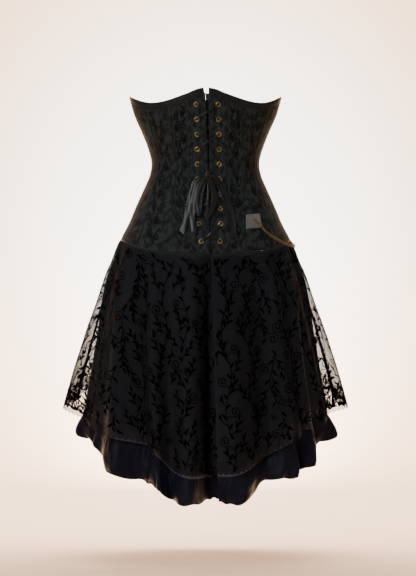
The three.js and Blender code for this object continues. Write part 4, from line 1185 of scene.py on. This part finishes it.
# %% Ruffle
RUFFLE = {"gap": 0.45, "flare": 12.0, "wave": 8.0, "per_fold": 0.85, "uneven": 0.25,
          "drift": 1.7, "flutes": 1.45}
HEM_TURN = 0.93
RUFFLE_ROWS = np.unique(np.concatenate(
    [[-0.05, -0.03, -0.012, -0.006], np.linspace(0, 1, 30), [0.91, 0.92, 0.93, 0.94, 0.95]]))
HEM_GROOVE, SEAM_TUCK = 0.35, 1.75


def ruffle_point(rows, tuck, s, w):
    uneven = 1 + RUFFLE["uneven"] * np.cos(RUFFLE["drift"] * s)
    wave = RUFFLE["wave"] * uneven * np.cos(2 * np.pi * RUFFLE["per_fold"] * s)
    gathers = 0.5 * np.sin(2 * np.pi * 6.3 * s + 1.3 * np.sin(3.1 * s)) * (1 + 0.6 * np.sin(5.3 * s))
    turn = 2 * np.pi * RUFFLE["flutes"] * s + 2.6 * np.sin(0.9 * s)
    flutes = 2.4 * np.sin(turn + 1.9 * w + 0.8 * np.sin(4 * w + s))
    crumple = 0.7 * np.sin(9.1 * s + 7 * w) * np.sin(5.7 * s - 9 * w + 1) + 0.4 * np.sin(21 * s + 5 * w)
    puff = 3.4 * np.sin(np.pi * np.clip(w, 0, 1)) - 2.6 * ease(w, 0.86, 1.0)
    out = (RUFFLE["flare"] + wave) * w + gathers * ease(w, 0.02, 0.1) * (1 - ease(w, 0.2, 0.5))
    out = out + (flutes + crumple) * ease(w, 0.05, 0.7) + puff
    out = (out - HEM_GROOVE * np.exp(-((w - HEM_TURN) / 0.012) ** 2)) * ease(s, *tuck)
    out = out - SEAM_TUCK * ease(-w, 0, 0.012)
    seam = fold(rows, "seam", s)
    place = skirt_point(rows, s, seam, out)
    hem = fold(rows, "ruffle", s) + 1.8 * np.sin(turn + 0.6)
    place[..., 2] = (seam - RUFFLE["gap"]) * (1 - w) + hem * w
    return place


for name, rows in FOLDS.items():
    s = steps(RUFFLE_FROM[name], len(rows["top"]) - 1, 40)
    outer, inner = satin_walls(
        lambda a, b: ruffle_point(rows, RUFFLE_TUCK[name], a, b), s, RUFFLE_ROWS[:, None])
    across, down = measured(outer)
    ruffle = make_wall(f"ruffle_satin_{name}", outer, inner, across, down, RUFFLE_SATIN)
    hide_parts(f"ruffle_{name}")
    declare_cloth(ruffle, outer)

# %% [markdown]
# ## The net overlay and its lace
# The net is one layer of fine mesh, fuller than the satin, so it stands off at the sides. Its
# holes are far smaller than a millimetre grid could carry, so it is a single sheet whose alpha
# follows a cell pattern at true size. The lace along its hem is a denser pattern with scallops.

# %% Net overlay
NET_OFF = 3.2
LACE_HEIGHT = 30.0


def make_net(name, grid, finish):
    return make_piece(name, grid, grid_faces(*grid.shape[:2]), joined(*measured(grid)), [finish])


for name, rows in FOLDS.items():
    s, w = steps(0, len(rows["top"]) - 1, 16), np.linspace(0, 1, 80)[:, None] ** 1.1
    s[0, -1] = len(rows["top"]) - 1
    top = skirt_top(fold(rows, "top", s))
    z = top + (fold(rows, "lace", s) + LACE_HEIGHT - top) * w
    grid = net_point(rows, s, z, NET_OFF)
    if name == "left":
        grid = tucked_under(grid, NET_UNDER_RIGHT)
    overlay = make_net(f"net_{name}", grid, NET)
    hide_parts(f"overlay_{name}")
    declare_cloth(overlay, grid)

# %% Lace trim
SCALLOP, SCALLOP_DEEP = 13.0, 3.5
LACE_OVER_NET = 0.3

for name, rows in FOLDS.items():
    s, w = steps(0, len(rows["top"]) - 1, 64), np.linspace(0, 1, 9)[:, None]
    bottom = fold(rows, "lace", s)
    hem = net_point(rows, s, bottom, NET_OFF)
    run = measured(hem)[0]
    scallop = SCALLOP_DEEP * (1 - np.abs(np.sin(np.pi * run / SCALLOP)))
    z = bottom + LACE_HEIGHT - LACE_OVER_NET + (scallop - LACE_HEIGHT + LACE_OVER_NET) * w
    grid = net_point(rows, s, z, NET_OFF + 0.1)
    lace = make_net(f"lace_{name}", grid, LACE)
    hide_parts(f"lace_trim_{name}")
    declare_cloth(lace, grid)

# %% [markdown]
# ## Drawing a motif
# The flocked vines of the net and the scrolls of the brocade are drawn from the same few
# strokes: a leaf, a stem and a spiral. Each is a thin strip in millimetres, laid flat first and
# then placed on the cloth, so it bends with every fold and keeps its size.

# %% Strokes: leaf, stem and spiral
class Drawing:
    def __init__(self):
        self.parts = []
        self.marks = np.zeros((0, 2))

    def remember(self):
        self.marks = np.concatenate([part[::2, 1] for part in self.parts])

    def is_free(self, x, y, room):
        if not len(self.marks):
            return True
        return bool((((self.marks - (x, y)) ** 2).sum(axis=1) > room * room).all())

    def strip(self, line, halves):
        line = np.asarray(line, dtype=float)
        along = np.gradient(line, axis=0)
        along /= np.linalg.norm(along, axis=-1, keepdims=True) + 1e-9
        side = np.stack([-along[:, 1], along[:, 0]], axis=-1)
        halves = np.asarray(halves, dtype=float)[:, None]
        self.parts.append(np.stack([line - side * halves, line, line + side * halves], axis=1))

    def leaf(self, x, y, turn, long, wide, bend=0.12):
        t = np.linspace(0, 1, 7)
        curve = bend * long * np.sin(np.pi * t)
        c, s = math.cos(turn), math.sin(turn)
        line = np.stack([x + long * t * c - curve * s, y + long * t * s + curve * c], axis=-1)
        self.strip(line, 0.02 + wide / 2 * np.sin(np.pi * t ** 0.8) ** 0.8)

    def spiral(self, x, y, radius, turn, hand, wide, turns=1.45):
        t = np.linspace(0, 1, 30)
        swing = turn + hand * 2 * np.pi * turns * t
        reach = radius * (1 - 0.86 * t)
        line = np.stack([x + reach * np.cos(swing), y + reach * np.sin(swing)], axis=-1)
        self.strip(line, wide / 2 * (0.8 + 0.5 * t))
        return line[0]

    def bow_stroke(self, start, end, bend, wide):
        start, end = np.asarray(start, dtype=float), np.asarray(end, dtype=float)
        t = np.linspace(0, 1, 10)[:, None]
        side = np.array([-(end - start)[1], (end - start)[0]])
        line = start + (end - start) * t + side * bend * np.sin(np.pi * t)
        self.strip(line, np.full(10, wide / 2))

    def laid(self, place, keep):
        kept = [part for part in self.parts if keep(part[..., 0], part[..., 1])]
        points, faces = merged(
            (place(part[..., 0], part[..., 1]).reshape(-1, 3), grid_faces(len(part), 3))
            for part in kept)
        return points, faces, np.concatenate([part.reshape(-1, 2) for part in kept])


# %% [markdown]
# ## Flocked vines on the net
# Vines climb the net side by side, evenly spaced round the skirt at any height. Leaves stand off
# the stem in turns on both sides, and now and then a branch ends in a spiral. No branch is drawn
# where a neighbour already lies, and loose sprigs fill the room that the flare opens.

# %% Flock: how far round the net a place is
MAP_TOP, MAP_END, MAP_STEP, MAP_PLACES = -172.0, -715.0, 6.0, 900
FLOCK_LIFT = 0.35


class NetMap:
    def __init__(self, rows):
        self.rows = rows
        self.s = np.linspace(SEAM_INSET, len(rows["top"]) - 1 - SEAM_INSET, MAP_PLACES)
        self.z = np.arange(MAP_TOP, MAP_END, -MAP_STEP)
        self.arc = np.array([
            run_along(net_point(rows, self.s, np.full_like(self.s, z), NET_OFF + 0.3))
            for z in self.z])

    def round_at(self, z):
        return np.interp(-np.asarray(z, dtype=float), -self.z, self.arc[:, -1])

    def s_at(self, u, z):
        level = np.clip((z - self.z[0]) / (self.z[1] - self.z[0]), 0, len(self.z) - 1.001)
        low = level.astype(int)
        share = level - low
        found = np.zeros_like(u)
        for row in np.unique(low):
            here = low == row
            first = np.interp(u[here], self.arc[row], self.s)
            second = np.interp(u[here], self.arc[row + 1], self.s)
            found[here] = first + (second - first) * share[here]
        return found

    def place(self, u, z):
        return net_point(self.rows, self.s_at(u, z), z, NET_OFF + FLOCK_LIFT)

    def holds(self, u, z):
        s = self.s_at(u, z)
        top = skirt_top(fold(self.rows, "top", s))
        low = fold(self.rows, "lace", s)
        inside = (u > 2) & (u < self.round_at(z) - 2) & (z < top - 2) & (z > low + 5)
        return bool(inside.all())


# %% Flock: a sprig and a climbing vine
VINES = 15
LEAF_LONG, LEAF_WIDE = 16.5, 5.2
STEM_WIDE = 1.5


def draw_sprig(drawing, x, y, heading, long, curl, dice):
    t = np.linspace(0, 1, 12)
    swing = heading + curl * t
    line = np.cumsum(joined(np.cos(swing), np.sin(swing)), axis=0) * long / 12 + (x, y)
    line = np.vstack([[x, y], line])
    drawing.strip(line[:7], np.full(7, STEM_WIDE / 2))
    drawing.strip(line[6:], np.linspace(STEM_WIDE / 2, 0.45, 7))
    side = 1 if dice.random() < 0.5 else -1
    for at in np.arange(0.26, 0.95, 8.5 / long):
        k = at * 12
        base = line[int(k)] + (line[int(k) + 1] - line[int(k)]) * (k % 1)
        turn = heading + curl * at + side * dice.uniform(0.5, 0.8)
        size = dice.uniform(0.8, 1.12)
        drawing.leaf(*base, turn, LEAF_LONG * size, LEAF_WIDE * size, bend=-0.1 * side)
        side = -side
    drawing.leaf(*line[-1], heading + curl, LEAF_LONG * 0.9, LEAF_WIDE * 0.9)


def draw_curl(drawing, x, y, side, up, dice):
    radius = dice.uniform(9.5, 12.5)
    cx, cy = x + side * (radius + dice.uniform(4, 9)), y + up * dice.uniform(6, 12)
    begin = drawing.spiral(cx, cy, radius, -np.pi / 2 * up, side * up, 1.9)
    drawing.bow_stroke((x, y - up * 8), begin, 0.16 * side * up, STEM_WIDE)


def draw_vine(drawing, net_map, share, top, bottom, dice):
    phase, way = dice.uniform(0, 2 * np.pi), 1 if dice.random() < 0.65 else -1
    period = dice.uniform(130, 175)

    def at(z):
        return share * net_map.round_at(z) + 8.5 * np.sin(2 * np.pi * z / period + phase)

    z = np.arange(top, bottom, -3.0)
    for part in np.array_split(np.arange(len(z)), len(z) // 8):
        if dice.random() < 0.86:
            whole = np.append(part, min(part[-1] + 1, len(z) - 1))
            drawing.strip(joined(at(z[whole]), z[whole]), np.full(len(whole), STEM_WIDE / 2))
    height = top - 10
    side, turn_now = 1 if dice.random() < 0.5 else -1, int(dice.integers(0, 3))
    while height > bottom:
        x = float(at(height))
        is_open = drawing.is_free(x + side * 20, height + way * 14, 13)
        if is_open and turn_now % 3 == 2:
            draw_curl(drawing, x, height, side, way, dice)
        elif is_open:
            heading = way * (np.pi / 2) - side * way * dice.uniform(0.45, 1.0)
            draw_sprig(drawing, x, height, heading, dice.uniform(32, 46), side * way * 0.6, dice)
        leaf_turn = way * np.pi / 2 + way * side * dice.uniform(0.5, 0.8)
        drawing.leaf(float(at(height - 9)), height - 9, leaf_turn, LEAF_LONG, LEAF_WIDE, -0.1 * side)
        height -= dice.uniform(19, 24)
        side, turn_now = -side, turn_now + 1
    drawing.remember()


# %% Flock: loose sprigs where the cloth is still bare
FILL_STEP, FILL_ROOM = 13.0, 15.5


def fill_bare(drawing, net_map, dice):
    for z in np.arange(-190.0, -700.0, -FILL_STEP):
        for u in np.arange(8.0, float(net_map.round_at(z)), FILL_STEP):
            x, y = u + dice.uniform(-4, 4), z + dice.uniform(-4, 4)
            if not drawing.is_free(x, y, FILL_ROOM):
                continue
            way = 1 if dice.random() < 0.6 else -1
            if dice.random() < 0.3:
                drawing.spiral(x, y, dice.uniform(8, 10.5), dice.uniform(0, 6), way, 1.9)
            else:
                heading, long = way * dice.uniform(1.2, 1.9), dice.uniform(24, 30)
                draw_sprig(drawing, x, y - 12 * way, heading, long, 0.3, dice)
            drawing.remember()


# %% Flock: the fuller border above the lace
BORDER_STEM = 2.4


def draw_border(drawing, net_map, dice):
    for u in np.arange(9.0, net_map.round_at(-640.0), 15.0):
        s = net_map.s_at(np.array([u]), np.array([-560.0]))
        if not 55 < abs(float(fold(net_map.rows, "hem", s)[0])) < 128:
            continue
        z = float(fold(net_map.rows, "lace", s)[0]) + 8
        level = int((MAP_TOP - z) / MAP_STEP)
        x = float(np.interp(s, net_map.s, net_map.arc[level])[0])
        side = 1 if int(u / 15) % 2 else -1
        for turn in (0.85, 1.5, 2.2):
            long = LEAF_LONG * dice.uniform(0.8, 1.15)
            foot = x + dice.uniform(-2, 2), z + dice.uniform(0, 4)
            drawing.leaf(*foot, turn, long, LEAF_WIDE, 0.12 * side)
        drawing.spiral(x + side * 5, z + 24, 8.5, np.pi / 2, side, BORDER_STEM)
        drawing.bow_stroke((x, z + 2), (x + side * 12, z + 42), 0.25 * side, BORDER_STEM)
        drawing.leaf(x + side * 9, z + 36, 1.57 + side * 0.8, LEAF_LONG, LEAF_WIDE, 0.12 * side)
        drawing.leaf(x + side * 8, z + 30, 1.57 - side * 0.9, LEAF_LONG, LEAF_WIDE, -0.12 * side)


# %% Flock: both sides of the net
for name, rows in FOLDS.items():
    net_map = NetMap(rows)
    dice = np.random.default_rng(5 if name == "left" else 8)
    drawing = Drawing()
    for k in range(VINES):
        draw_vine(drawing, net_map, (k + 0.5) / VINES, -176.0 - dice.uniform(0, 20), -700.0, dice)
    draw_border(drawing, net_map, dice)
    drawing.remember()
    fill_bare(drawing, net_map, dice)
    points, faces, uv = drawing.laid(net_map.place, net_map.holds)
    flock = make_piece(f"flock_{name}", points, faces, uv, [FLOCK])
    print(f"flock {name}: {len(faces)} faces")

# %% [markdown]
# ## Scrolls in the brocade
# The corset's cloth is woven black on black. Scrolls run up the panels in bands, a little darker
# and glossier than the ground. They stand a hair above it, as a woven figure does.

# %% Brocade: where a scroll lies on a panel
SCROLL_LIFT = 0.13


def panel_width(panel, z):
    begin, end = panel_angle(panel, 0.0, 0.0, z), panel_angle(panel, 0.0, 1.0, z)
    return line_length(on_figure(np.array([begin, end]), np.array([z, z]), CORSET_THICK))


def panel_map(panel, way, share0):
    columns_mm, _ = panel_columns(panel)
    begin = columns_mm[-1]
    heights = np.linspace(-200, 172, 60)
    widths = np.array([panel_width(panel, z) for z in heights]) - begin
    middle = float(panel_angle(panel, begin, share0, 0.0))
    bottom, top = corset_edges(middle)

    def shares_at(x, z):
        return share0 + x / np.interp(z, heights, widths), (z - bottom) / (top - bottom)

    def place(x, z):
        share, height = shares_at(x, z)
        mm, share = begin + 0 * share, np.clip(share, 0.01, 0.985)
        return panel_surface(panel, way, mm, share, height, CORSET_THICK + SCROLL_LIFT)[0]

    def keep(x, z):
        share, height = shares_at(x, z)
        return bool(((share > 0.02) & (share < 0.97) & (height > 0.012) & (height < 0.945)).all())
    return place, keep


def draw_scroll(drawing, dice, wide):
    z, side = -192.0, 1
    while z < 170:
        x = side * wide * 0.18
        radius = dice.uniform(6.5, 8.5)
        drawing.spiral(x + side * radius * 0.6, z + 10, radius, -np.pi / 2, side, 2.6, turns=1.2)
        drawing.bow_stroke((x - side * 4, z - 8), (x + side * 1, z + 4), -0.25 * side, 2.4)
        drawing.bow_stroke((x - side * 5, z + 4), (-side * 3, z + 27), 0.3 * side, 3.0)
        for turn, long in ((2.2, 15), (1.75, 18), (1.3, 14)):
            flip = turn if side > 0 else np.pi - turn
            drawing.leaf(x - side * 5, z + 6, flip, long * dice.uniform(0.85, 1.1), 4.6, bend=0.2 * side)
        drawing.leaf(x + side * 4, z + 19, np.pi / 2 - side * 0.5, 12, 4.0, bend=-0.2 * side)
        z += dice.uniform(26, 31)
        side = -side


SCROLL_BANDS = [(0, 0.5, 8), (1, 0.62, 26), (2, 0.28, 24), (2, 0.74, 20), (3, 0.5, 28),
                (4, 0.35, 26), (4, 0.78, 20)]
for name, way in SIDES.items():
    dice = np.random.default_rng(21 if name == "left" else 34)
    bands = []
    for panel, share0, wide in SCROLL_BANDS:
        drawing = Drawing()
        draw_scroll(drawing, dice, wide)
        bands.append(drawing.laid(*panel_map(panel, way, share0)))
    points, faces = merged(band[:2] for band in bands)
    uv = np.concatenate([band[2] for band in bands])
    scroll = make_piece(f"scroll_{name}", points, faces, uv, [SCROLL])
    print(f"scroll {name}: {len(faces)} faces")

# %% [markdown]
# ## Stitching
# Every bone channel is closed by a row of topstitches on each side, and the binding and the
# patch are sewn down near their edges. One stitch is about three millimetres long.

# %% Stitches along a line
STITCH_PITCH, STITCH_LONG, STITCH_WIDE, STITCH_HIGH = 3.6, 2.5, 0.34, 0.26
STITCH_SUNK = 0.05
STITCH_FORM = ((0.0, 0.35), (0.15, 1.0), (0.85, 1.0), (1.0, 0.35))
STITCH_POINTS = 3 * len(STITCH_FORM)


def stitch_row(line, normals):
    run = run_along(line)
    starts = np.arange(1.0, run[-1] - STITCH_LONG, STITCH_PITCH)
    along = unit(point_at(starts + STITCH_LONG, run, line) - point_at(starts, run, line))
    rings = []
    for share, shrink in STITCH_FORM:
        place = point_at(starts + share * STITCH_LONG, run, line)
        normal = point_at(starts + share * STITCH_LONG, run, normals)
        side = np.cross(along, normal) * STITCH_WIDE * shrink
        rings.append(np.stack([place - side - normal * STITCH_SUNK,
                               place + normal * STITCH_HIGH * shrink,
                               place + side - normal * STITCH_SUNK], axis=1))
    points = np.stack(rings, axis=1).reshape(-1, 3)
    firsts = np.arange(len(starts)) * STITCH_POINTS
    faces = firsts[:, None, None] + grid_faces(len(STITCH_FORM), 3)[None]
    return points, faces.reshape(-1, 4)


def with_normals(line):
    return line, unit(line * (1, 1, 0))


def panel_seam_line(panel, way, mm):
    height = np.linspace(0.02, 0.955, 120)
    return panel_surface(panel, way, np.full(120, mm), np.zeros(120), height, CORSET_THICK)[0]


# %% Stitches: channels, binding and patch
BONE_STITCHES = {True: (1.1, 10.7, 31.7, 40.7), False: (1.1, 5.4)}
BINDING_STITCH_DOWN, BINDING_STITCH_OUT = 12.2, 3.05
PATCH_STITCH_ACROSS = np.array([0.07, 0.93, 0.93, 0.07, 0.07])
PATCH_STITCH_UP = np.array([0.07, 0.07, 0.93, 0.93, 0.07])
PATCH_STITCH_STEPS = 81
for name, way in SIDES.items():
    found = [panel_seam_line(panel, way, mm)
             for panel in range(len(PANEL_NAMES)) for mm in BONE_STITCHES[panel == 0]]
    angle, z = half_line(way, 1.0)
    found.append(on_figure(angle, z + HANG_GAP - BINDING_STITCH_DOWN, BINDING_STITCH_OUT))
    if name == "right":
        found.append(patch_point(spread_evenly(PATCH_STITCH_ACROSS, PATCH_STITCH_STEPS),
                                 spread_evenly(PATCH_STITCH_UP, PATCH_STITCH_STEPS),
                                 PATCH_OUT + PATCH_THICK - STITCH_SUNK))
    points, faces = merged(stitch_row(*with_normals(line)) for line in found)
    stitches = make_piece(f"stitches_{name}", points, faces, points[:, [0, 2]], [THREAD])
    print(f"stitches {name}: {len(points) // STITCH_POINTS}")

# %% [markdown]
# ## Light and backdrop
# A product photograph of black cloth needs broad light. A large soft light from the upper left
# shapes the folds, a weaker one fills from the right, and a strip from above lights the waist.
# The backdrop is a plain wall that runs into the floor, with a painted pool of light on it: pale behind
# the dress, darker and warmer round it as painted falloff.
# It shows only its front, so it doesn't hide the dress from a camera that goes round it.

# %% Backdrop and floor
BACKDROP, tree, shader = new_material("cream paper")
shader.inputs["Roughness"].default_value = 0.9
flat = add_node(tree, "VectorMath", {1: (1, 0, 1)}, operation="MULTIPLY")
far = add_node(tree, "VectorMath", operation="LENGTH")
link(tree, add_node(tree, "TexCoord").outputs["Object"], flat.inputs[0])
link(tree, flat.outputs[0], far.inputs[0])
# Painted light: the paper's colour is pale near the dress and darker and warmer further out, a painted
# pool of light and its falloff rather than the paper's own colour.
painted_falloff = remap(tree, far.outputs["Value"], {"From Min": 0.25, "From Max": 0.95},
             interpolation_type="SMOOTHSTEP")
colour_between(tree, painted_falloff, (0.93, 0.905, 0.88), (0.89, 0.61, 0.41))
one_sided = add_node(tree, "MixShader")
link(tree, add_node(tree, "NewGeometry").outputs["Backfacing"], one_sided.inputs["Fac"])
link(tree, shader.outputs[0], one_sided.inputs[1])
link(tree, add_node(tree, "BsdfTransparent").outputs[0], one_sided.inputs[2])
link(tree, one_sided.outputs[0], tree.nodes["Material Output"].inputs["Surface"])

FLOOR = -0.86
FLOOR_FRONT, FLOOR_END = -3.0, 0.35
SWEEP_ROUND = 1.5
WALL_TOP, HALF_WIDE = 3.2, 4.0
sweep = [(FLOOR_END + SWEEP_ROUND * math.sin(t), SWEEP_ROUND * (1 - math.cos(t)) + FLOOR)
         for t in np.linspace(0, np.pi / 2, 16)]
sweep = [(FLOOR_FRONT, FLOOR)] + sweep + [(FLOOR_END + SWEEP_ROUND, WALL_TOP)]
mesh = bpy.data.meshes.new("backdrop")
count = len(sweep)
mesh.from_pydata([(x, y, z) for x in (-HALF_WIDE, HALF_WIDE) for y, z in sweep], [],
                 [(i, i + count, i + count + 1, i + 1) for i in range(count - 1)])
mesh.shade_smooth()
mesh.materials.append(BACKDROP)
backdrop = bpy.data.objects.new("backdrop", mesh)
bpy.context.scene.collection.objects.link(backdrop)


# %% Lights
def add_light(name, place, target, size, power, colour=(1, 1, 1)):
    light = bpy.data.lights.new(name, "AREA")
    light.shape = "RECTANGLE"
    light.size, light.size_y = size
    light.energy = power
    light.color = colour
    lamp = bpy.data.objects.new(name, light)
    lamp.location = place
    toward = np.array(target) - np.array(place)
    lamp.rotation_euler = (math.atan2(math.hypot(toward[0], toward[1]), -toward[2]), 0,
                           math.atan2(toward[1], toward[0]) - math.pi / 2)
    bpy.context.scene.collection.objects.link(lamp)


add_light("key", (-2.0, -3.2, 1.5), (0, 0, -0.2), (1.2, 1.8), 90, (0.96, 0.99, 1.0))
add_light("fill", (2.6, -2.6, 0.6), (0, 0, -0.3), (1.2, 2.0), 17, (0.96, 0.98, 1.0))
add_light("top", (0, -0.8, 2.6), (0, 0, 0), (1.8, 1.0), 22)
add_light("wall", (0, 0.6, 2.2), (0, 1.8, -0.2), (2.6, 0.5), 150, (1.0, 0.96, 0.92))
add_light("low wall", (0, 0.25, 0.1), (0, 1.7, -0.7), (2.2, 0.3), 50, (1.0, 0.96, 0.92))
add_light("glow", (0, 0.75, -0.2), (0, 1.8, -0.15), (0.4, 0.8), 40, (1.0, 0.96, 0.92))

world = bpy.data.worlds.new("studio")
world.use_nodes = True
world.node_tree.nodes["Background"].inputs["Color"].default_value = (0.95, 0.98, 1.0, 1)
world.node_tree.nodes["Background"].inputs["Strength"].default_value = 0.1
bpy.context.scene.world = world
